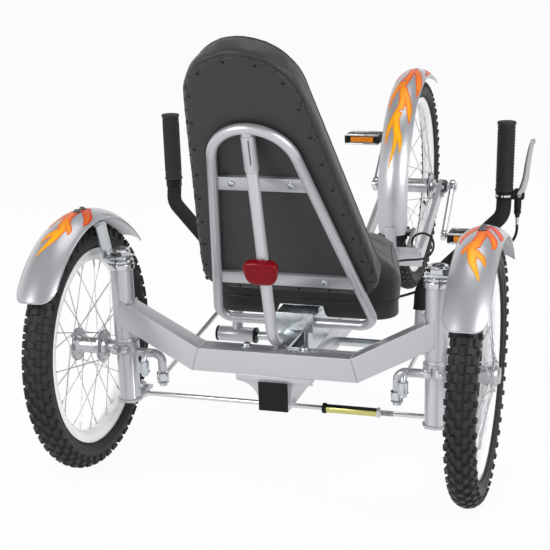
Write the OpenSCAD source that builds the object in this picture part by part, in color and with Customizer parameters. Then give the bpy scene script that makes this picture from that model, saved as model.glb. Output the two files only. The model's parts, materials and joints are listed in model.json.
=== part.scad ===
// Recumbent cruiser trike: two steered rear wheels on a raised crossbeam, a
// front-driven wheel in a fork at the end of a telescoping beam, a leaning
// seat and two push-pull steering levers.
// +X is the rider's right, +Y is forwards, +Z is up; lengths in millimetres.
// The origin is on the ground, midway between the ends of the trike.

/* [Layout] */
// Distance between the rear axle line and the front axle
wheelbase = 1161; // [1000:1:1300]
// Distance between the middles of the two rear tyres
track = 635; // [560:1:720]
// Distance of each kingpin from its wheel's middle plane
kingpin_offset = 64; // [60:1:80]

/* [Rear wheels] */
// Outer radius of the rear tyres
rear_tyre_r = 202; // [190:1:220]
// Width of the rear tyres' round section
rear_tyre_w = 49; // [44:1:54]
// Radius of the rear rims' outer edge
rear_rim_r = 160; // [150:1:168]

/* [Front wheel] */
// Outer radius of the front tyre
front_tyre_r = 254; // [240:1:275]
// Width of the front tyre's round section
front_tyre_w = 49; // [44:1:54]
// Radius of the front rim's outer edge
front_rim_r = 211; // [200:1:220]
// Number of spokes in each wheel
spoke_count = 28; // [20:4:36]
// Width of the rims
rim_w = 27; // [24:1:32]

/* [Crossbeam] */
// Height of the crossbeam's top face at its middle
crossbeam_top = 217; // [205:1:230]
// Height of the beam tube's section
crossbeam_h = 38; // [34:1:42]
// Depth of the beam tube's section, front to back
crossbeam_d = 38; // [34:1:42]
// Half length of the level middle stretch
crossbeam_flat = 124; // [110:1:140]
// Height of the top face where each arm meets its head tube
arm_end_top = 287; // [275:1:300]
// Outer radius of the head tubes
head_r = 18; // [16:1:20]
// Height of the head tubes' top end
head_top = 335; // [325:1:345]
// Height of the head tubes' bottom end
head_bottom = 222; // [218:1:230]

/* [Main beam] */
// Side of the square main beam
beam_w = 48; // [46:1:52]
// Wall of the main beam
beam_wall = 2.5; // [2:0.1:3]
// Height of the main beam's top face
beam_top = 170; // [165:1:178]
// Distance of the main beam's rear end behind the rear axle line
beam_rear = 20; // [19:1:40]
// Distance of the main beam's front end ahead of the rear axle line
beam_front = 560; // [500:1:620]
// Gap between the main beam's inside and the front boom on each side
boom_gap = 0.3; // [0.2:0.1:0.6]
// Distance of the boom's front end behind the front axle
boom_back = 284; // [278:1:300]

/* [Steering] */
// Radius of the kingpins
kingpin_r = 11; // [9:0.5:12]
// Radial clearance of every turning fit
fit = 0.05; // [0.02:0.01:0.08]
// Length of each steering arm, from kingpin to rod pin
arm_reach = 60; // [55:1:65]
// Distance of the tie rod's pins ahead of the kingpins
tie_reach = 50; // [45:1:56]
// Height of the tie rod's middle
tie_z = 105; // [98:1:107]
// Radius of the tie rod
tie_r = 4; // [3:0.5:5]
// Distance of the lever shaft ahead of the rear axle line
shaft_y = 305; // [295:1:330]
// Height of the lever shaft
shaft_z = 133; // [132:1:136]
// Radius of the lever shaft
shaft_r = 8; // [7:0.5:8.5]
// Distance of the lever posts from the middle of the trike
post_x = 171; // [165:1:180]
// Height of the link rods' front joints above the lever shaft
link_rise = 54; // [50:1:60]
// Radius of the grips
grip_r = 16; // [15:0.5:17]
// Length of the grips
grip_h = 120; // [110:1:130]

/* [Seat] */
// Lean of the seat back from upright, in degrees
seat_lean = 33; // [30:1:36]
// Distance of the seat hoop's foot ahead of the rear axle line
hoop_y = 118; // [112:1:126]
// Height of the seat hoop's foot
hoop_z = 227; // [224:1:240]
// Radius of the seat hoop's tube
hoop_r = 8; // [7:0.5:9]
// Half width of the hoop at its foot
hoop_half = 136; // [128:1:142]
// Height of the hoop along its lean
hoop_h = 416; // [400:1:430]
// Thickness of the back pad
pad_t = 52; // [46:1:66]
// Thickness of the seat cushion
cushion_t = 80; // [65:1:90]

/* [Drive] */
// Length of the cranks
crank_len = 152; // [140:1:165]
// Angle of the right crank, from forwards towards up, in degrees
crank_angle = 218; // [210:1:226]
// Distance of the cranks' middle planes from the middle of the trike
crank_x = 95; // [90:1:102]
// Half width over the fork blades' outer faces
fork_half = 72; // [66:1:76]
// Width of the pedals, along their pins
pedal_w = 90; // [80:1:100]

/* [Hidden] */
$fn = 64;

// Places that follow from the layout
rear_y = -(wheelbase + front_tyre_r - rear_tyre_r) / 2;
front_y = rear_y + wheelbase;
wheel_x = track / 2;
kingpin_x = wheel_x - kingpin_offset;
boom_w = beam_w - 2 * (beam_wall + boom_gap);
beam_mid = beam_top - beam_w / 2;
boom_end = wheelbase - boom_back;
boom_tail = shaft_y + 80;

// Colours
silver = [0.74, 0.75, 0.78];
chrome = [0.82, 0.83, 0.85];
black = [0.07, 0.07, 0.08];
white = [0.92, 0.92, 0.93];

// ---- helpers ----

// Moves what is drawn about the rear axle line into the trike's own frame
module rear() { translate([0, rear_y, 0]) children(); }

// Straight round bar from a to b
module bar(a, b, r) {
    d = b - a;
    translate(a)
        rotate([0, acos(d[2] / norm(d)), atan2(d[1], d[0])])
            cylinder(r = r, h = norm(d));
}

// Round tube that starts at the origin along +Z and follows steps: [length]
// is straight, and [bend radius, angle, roll] turns towards the roll angle.
// Children are drawn at its far end; a radius of 0 draws no tube. Straight
// stretches are a hair thinner than the bends and lap into them
lap = 0.5;
lap_step = 0.03;
module run(r, steps, i = 0) {
    if (i == len(steps)) children();
    else {
        s = steps[i];
        if (len(s) == 1) {
            if (r > 0) translate([0, 0, -lap]) cylinder(r = r - lap_step, h = s[0] + 2 * lap);
            translate([0, 0, s[0]]) run(r, steps, i + 1) children();
        } else rotate([0, 0, s[2]]) {
            if (r > 0)
            translate([s[0], 0, 0])
                rotate([-90, 0, 0])
                    rotate([0, 0, 180])
                        rotate_extrude(angle = s[1])
                            translate([s[0], 0]) circle(r = r);
            translate([s[0] * (1 - cos(s[1])), 0, s[0] * sin(s[1])])
                rotate([0, s[1], 0])
                    rotate([0, 0, -s[2]]) run(r, steps, i + 1) children();
        }
    }
}

// Box from corner a to corner b
module slab(a, b) { translate(a) cube(b - a); }

// Turns a shape made about +Z so that its axis is +X
module along_x() { rotate([90, 0, 90]) children(); }

// ---- frame ----

module crossbeam() color(silver) rear() difference() {
    union() {
        rotate([90, 0, 0])
            translate([0, 0, -crossbeam_d / 2])
                linear_extrude(crossbeam_d) crossbeam_side();
        for (s = [-1, 1])
            translate([s * kingpin_x, 0, head_bottom]) cylinder(r = head_r, h = head_top - head_bottom);
    }
    for (s = [-1, 1])
        translate([s * kingpin_x, 0, head_bottom - 1])
            cylinder(r = kingpin_r + fit, h = head_top - head_bottom + 2);
}

// Front view of the beam: level in the middle, arms that rise to the head tubes
module crossbeam_side() {
    rise = arm_end_top - crossbeam_top;
    low = crossbeam_top - crossbeam_h;
    drop = crossbeam_h / cos(atan(rise / (kingpin_x - crossbeam_flat)));
    polygon([
        [-kingpin_x, arm_end_top], [-crossbeam_flat, crossbeam_top],
        [crossbeam_flat, crossbeam_top], [kingpin_x, arm_end_top],
        [kingpin_x, arm_end_top - drop], [crossbeam_flat + 11, low],
        [-crossbeam_flat - 11, low], [-kingpin_x, arm_end_top - drop]
    ]);
}

// Clamp plate between the crossbeam and the main beam, with a curved gusset
// down each side of the beam
plate_t = crossbeam_top - crossbeam_h - beam_top;
plate_half = 62;
gusset_h = 40;
module beam_plate() color(silver) rear() {
    slab([-plate_half, -crossbeam_d / 2, beam_top], [plate_half, crossbeam_d / 2, beam_top + plate_t]);
    for (s = [0, 1]) mirror([s, 0, 0]) difference() {
        slab([beam_w / 2, -14, beam_top - gusset_h], [plate_half, -10, beam_top + 1]);
        translate([plate_half, 0, beam_top - gusset_h]) rotate([90, 0, 0])
            cylinder(r = plate_half - beam_w / 2 - 2, h = crossbeam_d, center = true);
    }
}

// Bearing cups pressed on the ends of both head tubes
cup_h = 10;
module headset_cups() color(chrome) rear()
    for (s = [-1, 1])
        translate([s * kingpin_x, 0, head_top]) difference() {
            cylinder(r = head_r + 3, h = cup_h);
            translate([0, 0, -1]) cylinder(r = kingpin_r + fit, h = cup_h + 2);
        }

module main_beam() color(silver) rear() difference() {
    slab([-beam_w / 2, -beam_rear, beam_top - beam_w], [beam_w / 2, beam_front, beam_top]);
    slab([-beam_w / 2 + beam_wall, -beam_rear - 1, beam_top - beam_w + beam_wall],
         [beam_w / 2 - beam_wall, beam_front + 1, beam_top - beam_wall]);
    translate([-beam_w, shaft_y, shaft_z]) along_x() cylinder(r = shaft_r, h = 2 * beam_w);
}

// Square plug in the main beam's rear end
module beam_cap() color(black) rear() {
    slab([-beam_w / 2, -beam_rear - 4, beam_top - beam_w], [beam_w / 2, -beam_rear, beam_top]);
    slab([-beam_w / 2 + beam_wall, -beam_rear, beam_top - beam_w + beam_wall],
         [beam_w / 2 - beam_wall, -beam_rear + 16, beam_top - beam_wall]);
}

// Pan and slide rails that carry the seat on the main beam, the block that
// clamps the hoop's foot, and the tongue that the brace's foot rests on
bracket_top = hoop_z + 23;
rail_x = 20;
tongue_w = 28;
tongue_back = crossbeam_d / 2 + 3;
tongue_top = crossbeam_top;
module seat_bracket() color(chrome) rear() {
    slab([-tongue_w / 2, tongue_back, tongue_top - 6], [tongue_w / 2, hoop_y - 8, tongue_top]);
    slab([-90, hoop_y + 30, bracket_top - 4], [90, hoop_y + 190, bracket_top]);
    for (s = [-1, 1])
        slab([s * rail_x - 4, hoop_y - 14, beam_top], [s * rail_x + 4, hoop_y + 190, hoop_z - hoop_r - 6]);
    difference() {
        slab([-rail_x - 12, hoop_y - hoop_r - 6, hoop_z - hoop_r - 6], [rail_x + 12, hoop_y + 190, bracket_top - 4]);
        slab([-rail_x - 6, hoop_y + 40, hoop_z - hoop_r - 7], [rail_x + 6, hoop_y + 191, bracket_top - 8]);
        translate([-50, hoop_y, hoop_z]) along_x() cylinder(r = hoop_r, h = 100);
    }
}

// Places things on the leaning plane of the seat hoop
module on_back() { rear() translate([0, hoop_y, hoop_z]) rotate([seat_lean, 0, 0]) children(); }

hoop_taper = atan(0.2);
hoop_corner = 24;
hoop_arc = 64;
hoop_straps = [97, 306];
strap_front = 9;
// Tube of the seat hoop, drawn with radius r
module hoop_tube(r) {
    side = (hoop_h - hoop_corner * (1 + sin(hoop_taper)) - hoop_arc * (1 - sin(hoop_taper))) / cos(hoop_taper);
    foot = hoop_arc * cos(hoop_taper) + side * sin(hoop_taper) - hoop_corner * cos(hoop_taper);
    corner = [hoop_corner, 90 + hoop_taper, 180];
    on_back() translate([foot, 0, 0]) rotate([0, 90, 0])
        run(r, [corner, [side], [hoop_arc, 180 - 2 * hoop_taper, 180], [side], corner, [2 * foot]]);
}
module seat_hoop() color(silver) {
    hoop_tube(hoop_r);
    on_back() for (z = hoop_straps)
        slab([-hoop_half + 0.2 * z, 4, z - 13], [hoop_half - 0.2 * z, strap_front, z + 13]);
}

// Brace from the hoop's crown, straight down and then forwards to its foot on
// the bracket's tongue
strut_r = 9;
strut_lean = 15;
strut_dip = 12;
strut_crown = [0, hoop_y - hoop_h * sin(seat_lean) + 3, hoop_z + hoop_h * cos(seat_lean)];
strut_drop = (strut_crown[2] - crossbeam_top - 41) / cos(strut_lean);
module on_strut() { rear() translate(strut_crown) rotate([180 + strut_lean, 0, 0]) children(); }
module seat_strut() color(silver) difference() {
    on_strut() run(strut_r, [[strut_drop], [40, 90 - strut_lean - strut_dip, -90], [24]]);
    hoop_tube(hoop_r);
    on_back() slab([-strut_r - 1, strap_front - 0.3, hoop_h - 40], [strut_r + 1, strap_front + 30, hoop_h + 30]);
    rear() slab([-tongue_w / 2 - 1, tongue_back, tongue_top - 20], [tongue_w / 2 + 1, hoop_y, tongue_top]);
}

// Reflector clipped to the back of the brace
module rear_reflector() color("darkred") on_strut() difference() {
    slab([-25, 2, 202], [25, strut_r + 15, 240]);
    cylinder(r = strut_r, h = strut_drop);
}

module seat_back() color(black) on_back() translate([0, strap_front, 0])
    rotate([90, 0, 0]) mirror([0, 0, 1]) linear_extrude(pad_t) hull() {
        translate([0, 446]) circle(r = 90);
        for (s = [-1, 1]) translate([s * 113, 98]) circle(r = 36);
    }

module seat_cushion() color(black) rear() translate([0, 0, bracket_top])
    linear_extrude(cushion_t) hull() {
        for (s = [-1, 1]) {
            translate([s * 121, hoop_y + 62]) circle(r = 40);
            translate([s * 73, hoop_y + 222]) circle(r = 50);
        }
    }

// Cross shaft of the steering levers, through the main beam
module lever_shaft() color(chrome) rear() {
    translate([-post_x - 30, shaft_y, shaft_z]) along_x() cylinder(r = shaft_r, h = 2 * post_x + 60);
}

// ---- front end ----

// Boom that slides in the main beam, with the clips of the brake cable
boom_wall = 3;
clip_top = 152.2;
module front_boom() color(silver) rear() {
    difference() {
        slab([-boom_w / 2, boom_tail, beam_mid - boom_w / 2], [boom_w / 2, boom_end, beam_mid + boom_w / 2]);
        slab([-boom_w / 2 + boom_wall, boom_tail - 1, beam_mid - boom_w / 2 + boom_wall],
             [boom_w / 2 - boom_wall, boom_end - boom_wall, beam_mid + boom_w / 2 - boom_wall]);
    }
    for (y = [640, 780])
        slab([boom_w / 2 - 0.5, y - 6, clip_top - 6], [36, y + 6, clip_top]);
}

blade_t = 10;
blade_h = 34;
spindle_r = 8;
module front_fork() color(silver) rear() difference() {
    union() {
        slab([-fork_half, boom_end, beam_mid - 20], [fork_half, boom_end + 8, beam_mid + 22]);
        for (s = [-1, 1]) fork_blade(s);
        // tab that carries the fender's lower end
        difference() {
            slab([-12, boom_end, beam_mid + 20], [12, boom_end + 16, beam_mid + 66]);
            translate([-13, wheelbase, front_tyre_r]) along_x() cylinder(r = front_fender_r, h = 26);
        }
    }
    translate([-fork_half - 1, wheelbase, front_tyre_r]) along_x() cylinder(r = spindle_r + fit, h = 2 * fork_half + 2);
}

module fork_blade(s) {
    rise = front_tyre_r - beam_mid;
    length = norm([wheelbase - boom_end, rise]);
    translate([s * (fork_half - blade_t / 2), boom_end, beam_mid])
        rotate([atan(rise / (wheelbase - boom_end)), 0, 0]) {
            slab([-blade_t / 2, 0, -blade_h / 2], [blade_t / 2, length, blade_h / 2]);
            translate([-blade_t / 2, length, 0]) along_x() cylinder(r = blade_h / 2, h = blade_t);
        }
}

// C-shaped section of a fender: half width w, rise h, outer radius at the crown r
fender_t = 1.6;
function arc_points(w, h, n) = let (q = (w * w + h * h) / (2 * h), a = asin(w / q))
    [for (i = [-n:n]) [q * sin(a * i / n), q * cos(a * i / n) - q]];
module fender_section(r, w, h) {
    outer = arc_points(w, h, 8);
    inner = arc_points(w - fender_t, h - fender_t / 2, 8);
    polygon(concat(
        [for (p = outer) [r + p[1], p[0]]],
        [for (i = [len(inner) - 1:-1:0]) [r - fender_t + inner[i][1], inner[i][0]]]
    ));
}

// Fender shell about the X axis between two angles, from forwards towards up
module fender_shell(r, w, h, a0, a1) {
    along_x() rotate([0, 0, a0]) rotate_extrude(angle = a1 - a0, $fn = 128) fender_section(r, w, h);
}

front_fender_r = front_tyre_r + 24;
module front_fender() color(silver) rear() translate([0, wheelbase, front_tyre_r])
    fender_shell(front_fender_r, 34, 16, 62, 196);

// Caliper on the fork's crosspiece: two arms beside the tyre, pads at the rim,
// and a lug on the right arm where the cable ends
brake_x = 31;
pad_gap = 1.5;
module front_brake() color(chrome) rear() translate([0, boom_end + 8, beam_mid]) {
    fore = wheelbase - boom_end - 8;
    rise = front_tyre_r - beam_mid;
    pad_y = norm([fore, rise]) - front_rim_r + 2;
    slab([-brake_x - 8, 0, -10], [brake_x + 8, 10, 12]);
    rotate([atan(rise / fore), 0, 0]) {
        for (s = [0, 1]) mirror([s, 0, 0]) {
            slab([brake_x, 7, -8], [brake_x + 8, pad_y + 16, 8]);
            slab([rim_w / 2 + pad_gap, pad_y, -6], [brake_x + 1, pad_y + 14, 6]);
        }
        slab([brake_x + 4, 14, 2], [brake_x + 21, 30, 7]);
    }
}

// ---- wheels ----

module tyre(r, w, rim_r) along_x() rotate_extrude($fn = 128) difference() {
    translate([r - w / 2, 0]) circle(r = w / 2);
    translate([0, -w]) square([rim_r - 4, 2 * w]);
    translate([0, -rim_w / 2]) square([rim_r, rim_w]);
}

// Rim section: a shallow channel with rounded flanges, 20 mm deep
module rim(rim_r) along_x() rotate_extrude($fn = 128) polygon([
    [rim_r - 20, -rim_w / 4], [rim_r - 12, -rim_w / 2], [rim_r, -rim_w / 2],
    [rim_r, rim_w / 2], [rim_r - 12, rim_w / 2], [rim_r - 20, rim_w / 4]
]);

// Hub shell with two spoke flanges, bored for its axle
module hub(barrel_r, flange_r, half, bore_r) along_x() difference() {
    union() {
        translate([0, 0, -half]) cylinder(r = barrel_r, h = 2 * half);
        for (s = [-1, 1]) translate([0, 0, s * (half - 10) - 2]) cylinder(r = flange_r, h = 4);
    }
    translate([0, 0, -half - 1]) cylinder(r = bore_r, h = 2 * half + 2);
}

module spokes(flange_r, half, rim_r) along_x()
    for (i = [0:spoke_count - 1])
        rotate([0, 0, i * 360 / spoke_count])
            bar([flange_r - 4, 0, (i % 2 == 0 ? 1 : -1) * (half - 10)], [rim_r - 19, 0, 0], 1.2);

rear_hub_half = 33;
rear_hub_flange = 27;
axle_r = 7;
module at_rear_wheel(s) { rear() translate([s * wheel_x, 0, rear_tyre_r]) children(); }

module left_hub() color(chrome) at_rear_wheel(-1) hub(14, rear_hub_flange, rear_hub_half, axle_r + fit);
module left_spokes() color(silver) at_rear_wheel(-1) spokes(rear_hub_flange, rear_hub_half, rear_rim_r);
module left_rim() color(white) at_rear_wheel(-1) rim(rear_rim_r);
module left_tyre() color(black) at_rear_wheel(-1) tyre(rear_tyre_r, rear_tyre_w, rear_rim_r);
module right_hub() color(chrome) at_rear_wheel(1) hub(14, rear_hub_flange, rear_hub_half, axle_r + fit);
module right_spokes() color(silver) at_rear_wheel(1) spokes(rear_hub_flange, rear_hub_half, rear_rim_r);
module right_rim() color(white) at_rear_wheel(1) rim(rear_rim_r);
module right_tyre() color(black) at_rear_wheel(1) tyre(rear_tyre_r, rear_tyre_w, rear_rim_r);

front_hub_half = 52;
front_hub_flange = 34;
module at_front_axle() { rear() translate([0, wheelbase, front_tyre_r]) children(); }
module front_hub() color(chrome) at_front_axle() hub(18, front_hub_flange, front_hub_half, spindle_r + fit);
module front_spokes() color(silver) at_front_axle() spokes(front_hub_flange, front_hub_half, front_rim_r);
module front_rim() color(white) at_front_axle() rim(front_rim_r);
module front_tyre() color(black) at_front_axle() tyre(front_tyre_r, front_tyre_w, front_rim_r);

// ---- cranks and pedals ----

crank_t = 12;
pedal_pin_r = 5;
module crank_spindle() color(chrome) at_front_axle()
    translate([-crank_x - crank_t / 2, 0, 0]) along_x() cylinder(r = spindle_r, h = 2 * crank_x + crank_t);

// Crank arm on side s: s = 1 is the right one
module crank(s) at_front_axle() rotate([crank_angle + (s > 0 ? 0 : 180), 0, 0])
    translate([s * crank_x, 0, 0]) {
        difference() {
            union() {
                translate([-crank_t / 2, 0, 0]) along_x() cylinder(r = 17, h = crank_t);
                slab([-crank_t / 2, 0, -9], [crank_t / 2, crank_len, 9]);
                translate([-crank_t / 2, crank_len, 0]) along_x() cylinder(r = 12, h = crank_t);
            }
            translate([-crank_t, 0, 0]) along_x() cylinder(r = spindle_r, h = 2 * crank_t);
        }
        mirror([s > 0 ? 0 : 1, 0, 0])
            translate([0, crank_len, 0]) along_x() cylinder(r = pedal_pin_r, h = crank_t / 2 + 6 + pedal_w - 8);
    }
module left_crank() color(chrome) crank(-1);
module right_crank() color(chrome) crank(1);

// Level pedal on side s, bored for the crank's pin
module pedal(s) at_front_axle()
    translate([0, (s > 0 ? 1 : -1) * crank_len * cos(crank_angle), (s > 0 ? 1 : -1) * crank_len * sin(crank_angle)])
        mirror([s > 0 ? 0 : 1, 0, 0]) translate([crank_x + crank_t / 2 + 6, 0, 0]) difference() {
            slab([0, -32, -13], [pedal_w, 32, 13]);
            translate([-1, 0, 0]) along_x() cylinder(r = pedal_pin_r + fit, h = pedal_w - 4);
        }
module left_pedal() color(black) pedal(-1);
module right_pedal() color(black) pedal(1);

// ---- steering knuckles ----

knuckle_r = 17;
knuckle_bottom = 112;
knuckle_top = head_bottom - 0.5;
cap_top = 367;
foot_t = 5;
arm_r = 7;
pin_r = 4;
link_z = 158;
bracket_z = head_top + cup_h + 7.5;
bracket_t = 3;

// Knuckle on side s: kingpin, lower tube, axle stub, steering arm and foot
module knuckle(s) rear() translate([s * kingpin_x, 0, 0]) {
    translate([0, 0, knuckle_bottom]) cylinder(r = knuckle_r, h = knuckle_top - knuckle_bottom);
    translate([0, 0, knuckle_top - 1]) cylinder(r = kingpin_r, h = cap_top - knuckle_top - 6);
    translate([0, 0, head_top + cup_h + 0.5]) cylinder(r = 16, h = bracket_z - head_top - cup_h - 0.5);
    translate([0, 0, bracket_z + bracket_t]) cylinder(r = 15, h = cap_top - bracket_z - bracket_t);
    mirror([s > 0 ? 0 : 1, 0, 0])
        translate([0, 0, rear_tyre_r]) along_x() cylinder(r = axle_r, h = kingpin_offset + rear_hub_half);
    mirror([s > 0 ? 0 : 1, 0, 0])
        translate([0, 0, rear_tyre_r]) along_x() cylinder(r = 11, h = kingpin_offset - rear_hub_half - 0.5);
    // steering arm: inwards, then down to the rod pin
    mirror([s > 0 ? 1 : 0, 0, 0]) {
        translate([0, 0, rear_tyre_r - 6])
            rotate([0, 90, 0]) run(arm_r, [[arm_reach - 14], [14, 90, 0], [rear_tyre_r - 6 - 14 - link_z - 9]]);
        translate([arm_reach, 0, link_z - 10]) cylinder(r = pin_r, h = 20);
        // hook that rises behind the arm and ends in a ferrule
        translate([arm_reach - 16, 0, rear_tyre_r - 6]) rotate([70, 0, 0])
            run(4.5, [[20], [13, 110, -90], [6]]) cylinder(r = 8, h = 18, center = true);
    }
    // foot with the tie rod's pin
    slab([-14, -knuckle_r, knuckle_bottom], [14, tie_reach + 12, knuckle_bottom + foot_t]);
    translate([0, tie_reach, tie_z - 8]) cylinder(r = pin_r, h = knuckle_bottom - tie_z + 9);
}
module left_knuckle() color(silver) knuckle(-1);
module right_knuckle() color(silver) knuckle(1);

// Plate that carries a rear fender on its knuckle, with the two fender bolts
rear_fender_r = rear_tyre_r + 21;
module fender_bracket(s) rear() mirror([s > 0 ? 0 : 1, 0, 0]) {
    high = rear_tyre_r + rear_fender_r - fender_t - 4;
    difference() {
        rotate([90, 0, 0]) translate([0, 0, -17]) linear_extrude(34) polygon([
            [kingpin_x - 17, bracket_z], [kingpin_x + 23, bracket_z], [wheel_x - 32, high - 17],
            [wheel_x - 16, high - bracket_t], [wheel_x + 14, high - bracket_t], [wheel_x + 14, high],
            [wheel_x - 17, high], [wheel_x - 35, high - 16], [kingpin_x + 20, bracket_z + bracket_t],
            [kingpin_x - 17, bracket_z + bracket_t]
        ]);
        translate([kingpin_x, 0, bracket_z - 1]) cylinder(r = kingpin_r, h = bracket_t + 2);
    }
    for (y = [-9, 9]) translate([wheel_x, y, high - 6]) cylinder(r = 4, h = 14);
}
module left_fender_bracket() color(chrome) fender_bracket(-1);
module right_fender_bracket() color(chrome) fender_bracket(1);

module left_fender() color(silver) at_rear_wheel(-1) fender_shell(rear_fender_r, 33, 14, 41, 146);
module right_fender() color(silver) at_rear_wheel(1) fender_shell(rear_fender_r, 33, 14, 41, 146);

// ---- rods ----

lever_tilt = 14;
link_front = shaft_z + link_rise;
link_y = shaft_y + link_rise * tan(lever_tilt);
boss_x = post_x + 18;

module tie_rod() color(chrome) rear() translate([0, tie_reach, tie_z]) difference() {
    union() {
        translate([-kingpin_x, 0, 0]) along_x() cylinder(r = tie_r, h = 2 * kingpin_x);
        for (s = [-1, 1]) translate([s * kingpin_x, 0, -5]) cylinder(r = 10, h = 10);
        translate([65, 0, 0]) along_x() cylinder(r = 7, h = 90);
    }
    translate([-kingpin_x, 0, -6]) cylinder(r = pin_r + fit, h = 12);
    translate([kingpin_x, 0, -6]) cylinder(r = pin_r + 0.4, h = 12);
}

// Rod from a steering arm's pin to the boss on the lever post
module link_rod(s) rear() mirror([s > 0 ? 0 : 1, 0, 0]) difference() {
    union() {
        translate([kingpin_x - arm_reach, 0, link_z - 6]) cylinder(r = 10, h = 12);
        bar([kingpin_x - arm_reach, 4, link_z], [boss_x + 8, link_y, link_front], 4);
        translate([boss_x + 0.5, link_y, link_front]) along_x() cylinder(r = 9, h = 14);
    }
    translate([kingpin_x - arm_reach, 0, link_z - 8]) cylinder(r = pin_r + fit, h = 16);
}
module left_link_rod() color(chrome) link_rod(-1);
module right_link_rod() color(chrome) link_rod(1);

// ---- levers ----

post_r = 10;
foam_r = 13;
tube_r = 11;
post_h = 68;
bend_r = 30;
reach = 166;
sleeve_r = 14;
sleeve_half = 34;
clamp_h = 14;
foam_steps = [[24], [bend_r, 45, 0], [reach], [bend_r, 45, 180], [6], [40, lever_tilt, -90]];

// Places children on the lever shaft of side s, or at the foot of its grip
module at_shaft(s) {
    rear() mirror([s > 0 ? 0 : 1, 0, 0]) translate([post_x, shaft_y, shaft_z]) children();
}
module at_grip(s) { at_shaft(s) rotate([-lever_tilt, 0, 0]) run(0, concat([[post_h]], foam_steps)) children(); }

module lever(s) {
    at_shaft(s) difference() {
        union() {
            translate([-sleeve_half, 0, 0]) along_x() cylinder(r = sleeve_r, h = 2 * sleeve_half);
            rotate([-lever_tilt, 0, 0]) run(post_r, [[post_h]]) run(foam_r, foam_steps);
            translate([0, link_rise * tan(lever_tilt), link_rise]) along_x() cylinder(r = 9, h = boss_x - post_x);
        }
        translate([-sleeve_half - 1, 0, 0]) along_x() cylinder(r = shaft_r + fit, h = 2 * sleeve_half + 2);
    }
    at_grip(s) translate([0, 0, -3]) cylinder(r = tube_r, h = clamp_h + grip_h - 1);
}
module left_lever() color(black) lever(-1);
module right_lever() color(black) lever(1);

module grip(s) at_grip(s) translate([0, 0, clamp_h]) difference() {
    cylinder(r = grip_r, h = grip_h);
    translate([0, 0, -1]) cylinder(r = tube_r, h = grip_h - 3);
}
module left_grip() color(black) grip(-1);
module right_grip() color(black) grip(1);

// Perch, barrel and blade of the brake on the right lever
barrel_x = 24;
module brake_lever() color(chrome) at_grip(1) difference() {
    union() {
        translate([0, 0, 1]) cylinder(r = 15, h = clamp_h - 1.5);
        slab([0, -8, 1], [34, 8, clamp_h - 0.5]);
        bar([28, 0, 8], [46, 0, 102], 4.5);
        bar([barrel_x, 0, 6], [barrel_x, 0, -31], 6.5);
        bar([barrel_x, 0, -30], [barrel_x, 0, -43], 3);
    }
    cylinder(r = tube_r, h = clamp_h);
}

// ---- brake cable ----

cable_r = 2.5;
// Route from the brake lever's barrel down to the boom's side, about the rear
// axle line, then forwards and round the fork's crosspiece to the caliper
cable_route = [
    [330, 368.5, 349.5], [330, 369, 338], [327, 370, 326], [320, 373, 314], [310, 377, 302],
    [297, 381, 291], [282, 386, 280], [266, 391, 269], [249, 397, 258], [231, 402, 247],
    [213, 408, 236], [194, 414, 225], [174, 420, 214], [154, 427, 204],
    [134, 434, 194], [114, 442, 185], [95, 451, 177], [77, 461, 170], [61, 473, 165],
    [48, 487, 161], [39, 502, 158], [34, 518, 156], [32, 535, 155], [32, 560, 155],
    [32, 590, 155], [32, 620, 155], [32, 650, 155], [32, 680, 155], [32, 710, 155],
    [32, 740, 155], [32, 770, 155], [32, 795, 155], [34, 811, 154], [39, 825, 152],
    [47, 839, 150], [57, 851, 148], [68, 861, 147], [79, 868, 148], [89, 875, 153],
    [95, 882, 161], [97, 889, 172], [94, 894, 184], [87, 896, 193], [77, 896, 198],
    [66, 896, 198], [56, 896, 194], [49, 897, 186], [46, 898, 175], [46, 902, 161.5]
];
cable_split = 13;
function unit(v) = v / norm(v);
function heading(i) = unit(cable_route[min(i + 1, len(cable_route) - 1)] - cable_route[max(i - 1, 0)]);
function sideways(i, v) = i == len(cable_route) ? [] :
    let (w = unit(v - (v * heading(i)) * heading(i))) concat([w], sideways(i + 1, w));
cable_side = sideways(0, [1, 0, 0]);
function cable_ring(i) = [for (k = [0:7])
    cable_route[i] + cable_r * (cos(45 * k) * cable_side[i] + sin(45 * k) * cross(heading(i), cable_side[i]))];
// Tube along the route from point a to point b
module cable(a, b) rear() polyhedron(
    points = [for (i = [a:b]) each cable_ring(i)],
    faces = concat(
        [for (i = [0:b - a - 1], k = [0:7]) let (n = (k + 1) % 8) [8 * i + k, 8 * i + 8 + k, 8 * i + 8 + n, 8 * i + n]],
        [[for (k = [0:7]) k], [for (k = [7:-1:0]) 8 * (b - a) + k]]
    )
);
module lever_cable() color(black) cable(0, cable_split);
module brake_cable() color(black) cable(cable_split, len(cable_route) - 1);

crossbeam();
beam_plate();
headset_cups();
main_beam();
beam_cap();
seat_bracket();
seat_hoop();
seat_strut();
rear_reflector();
seat_back();
seat_cushion();
lever_shaft();
front_boom();
front_fork();
front_fender();
front_brake();
brake_cable();
front_hub();
front_spokes();
front_rim();
front_tyre();
crank_spindle();
left_crank();
right_crank();
left_pedal();
right_pedal();
left_knuckle();
left_fender_bracket();
left_fender();
right_knuckle();
right_fender_bracket();
right_fender();
left_hub();
left_spokes();
left_rim();
left_tyre();
right_hub();
right_spokes();
right_rim();
right_tyre();
tie_rod();
left_link_rod();
right_link_rod();
left_lever();
left_grip();
right_lever();
right_grip();
brake_lever();
lever_cable();
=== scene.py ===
"""Looks of a recumbent cruiser trike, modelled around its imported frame.

Metres, with +X the rider's right, +Y forwards along the beam and +Z up.
Sizes written as 24 * MM are millimetres.
"""
import json
from collections import namedtuple
from math import asin, atan2, cos, pi, radians, sin

import bmesh
import bpy
from mathutils import Matrix, Vector
from mathutils.bvhtree import BVHTree

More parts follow.
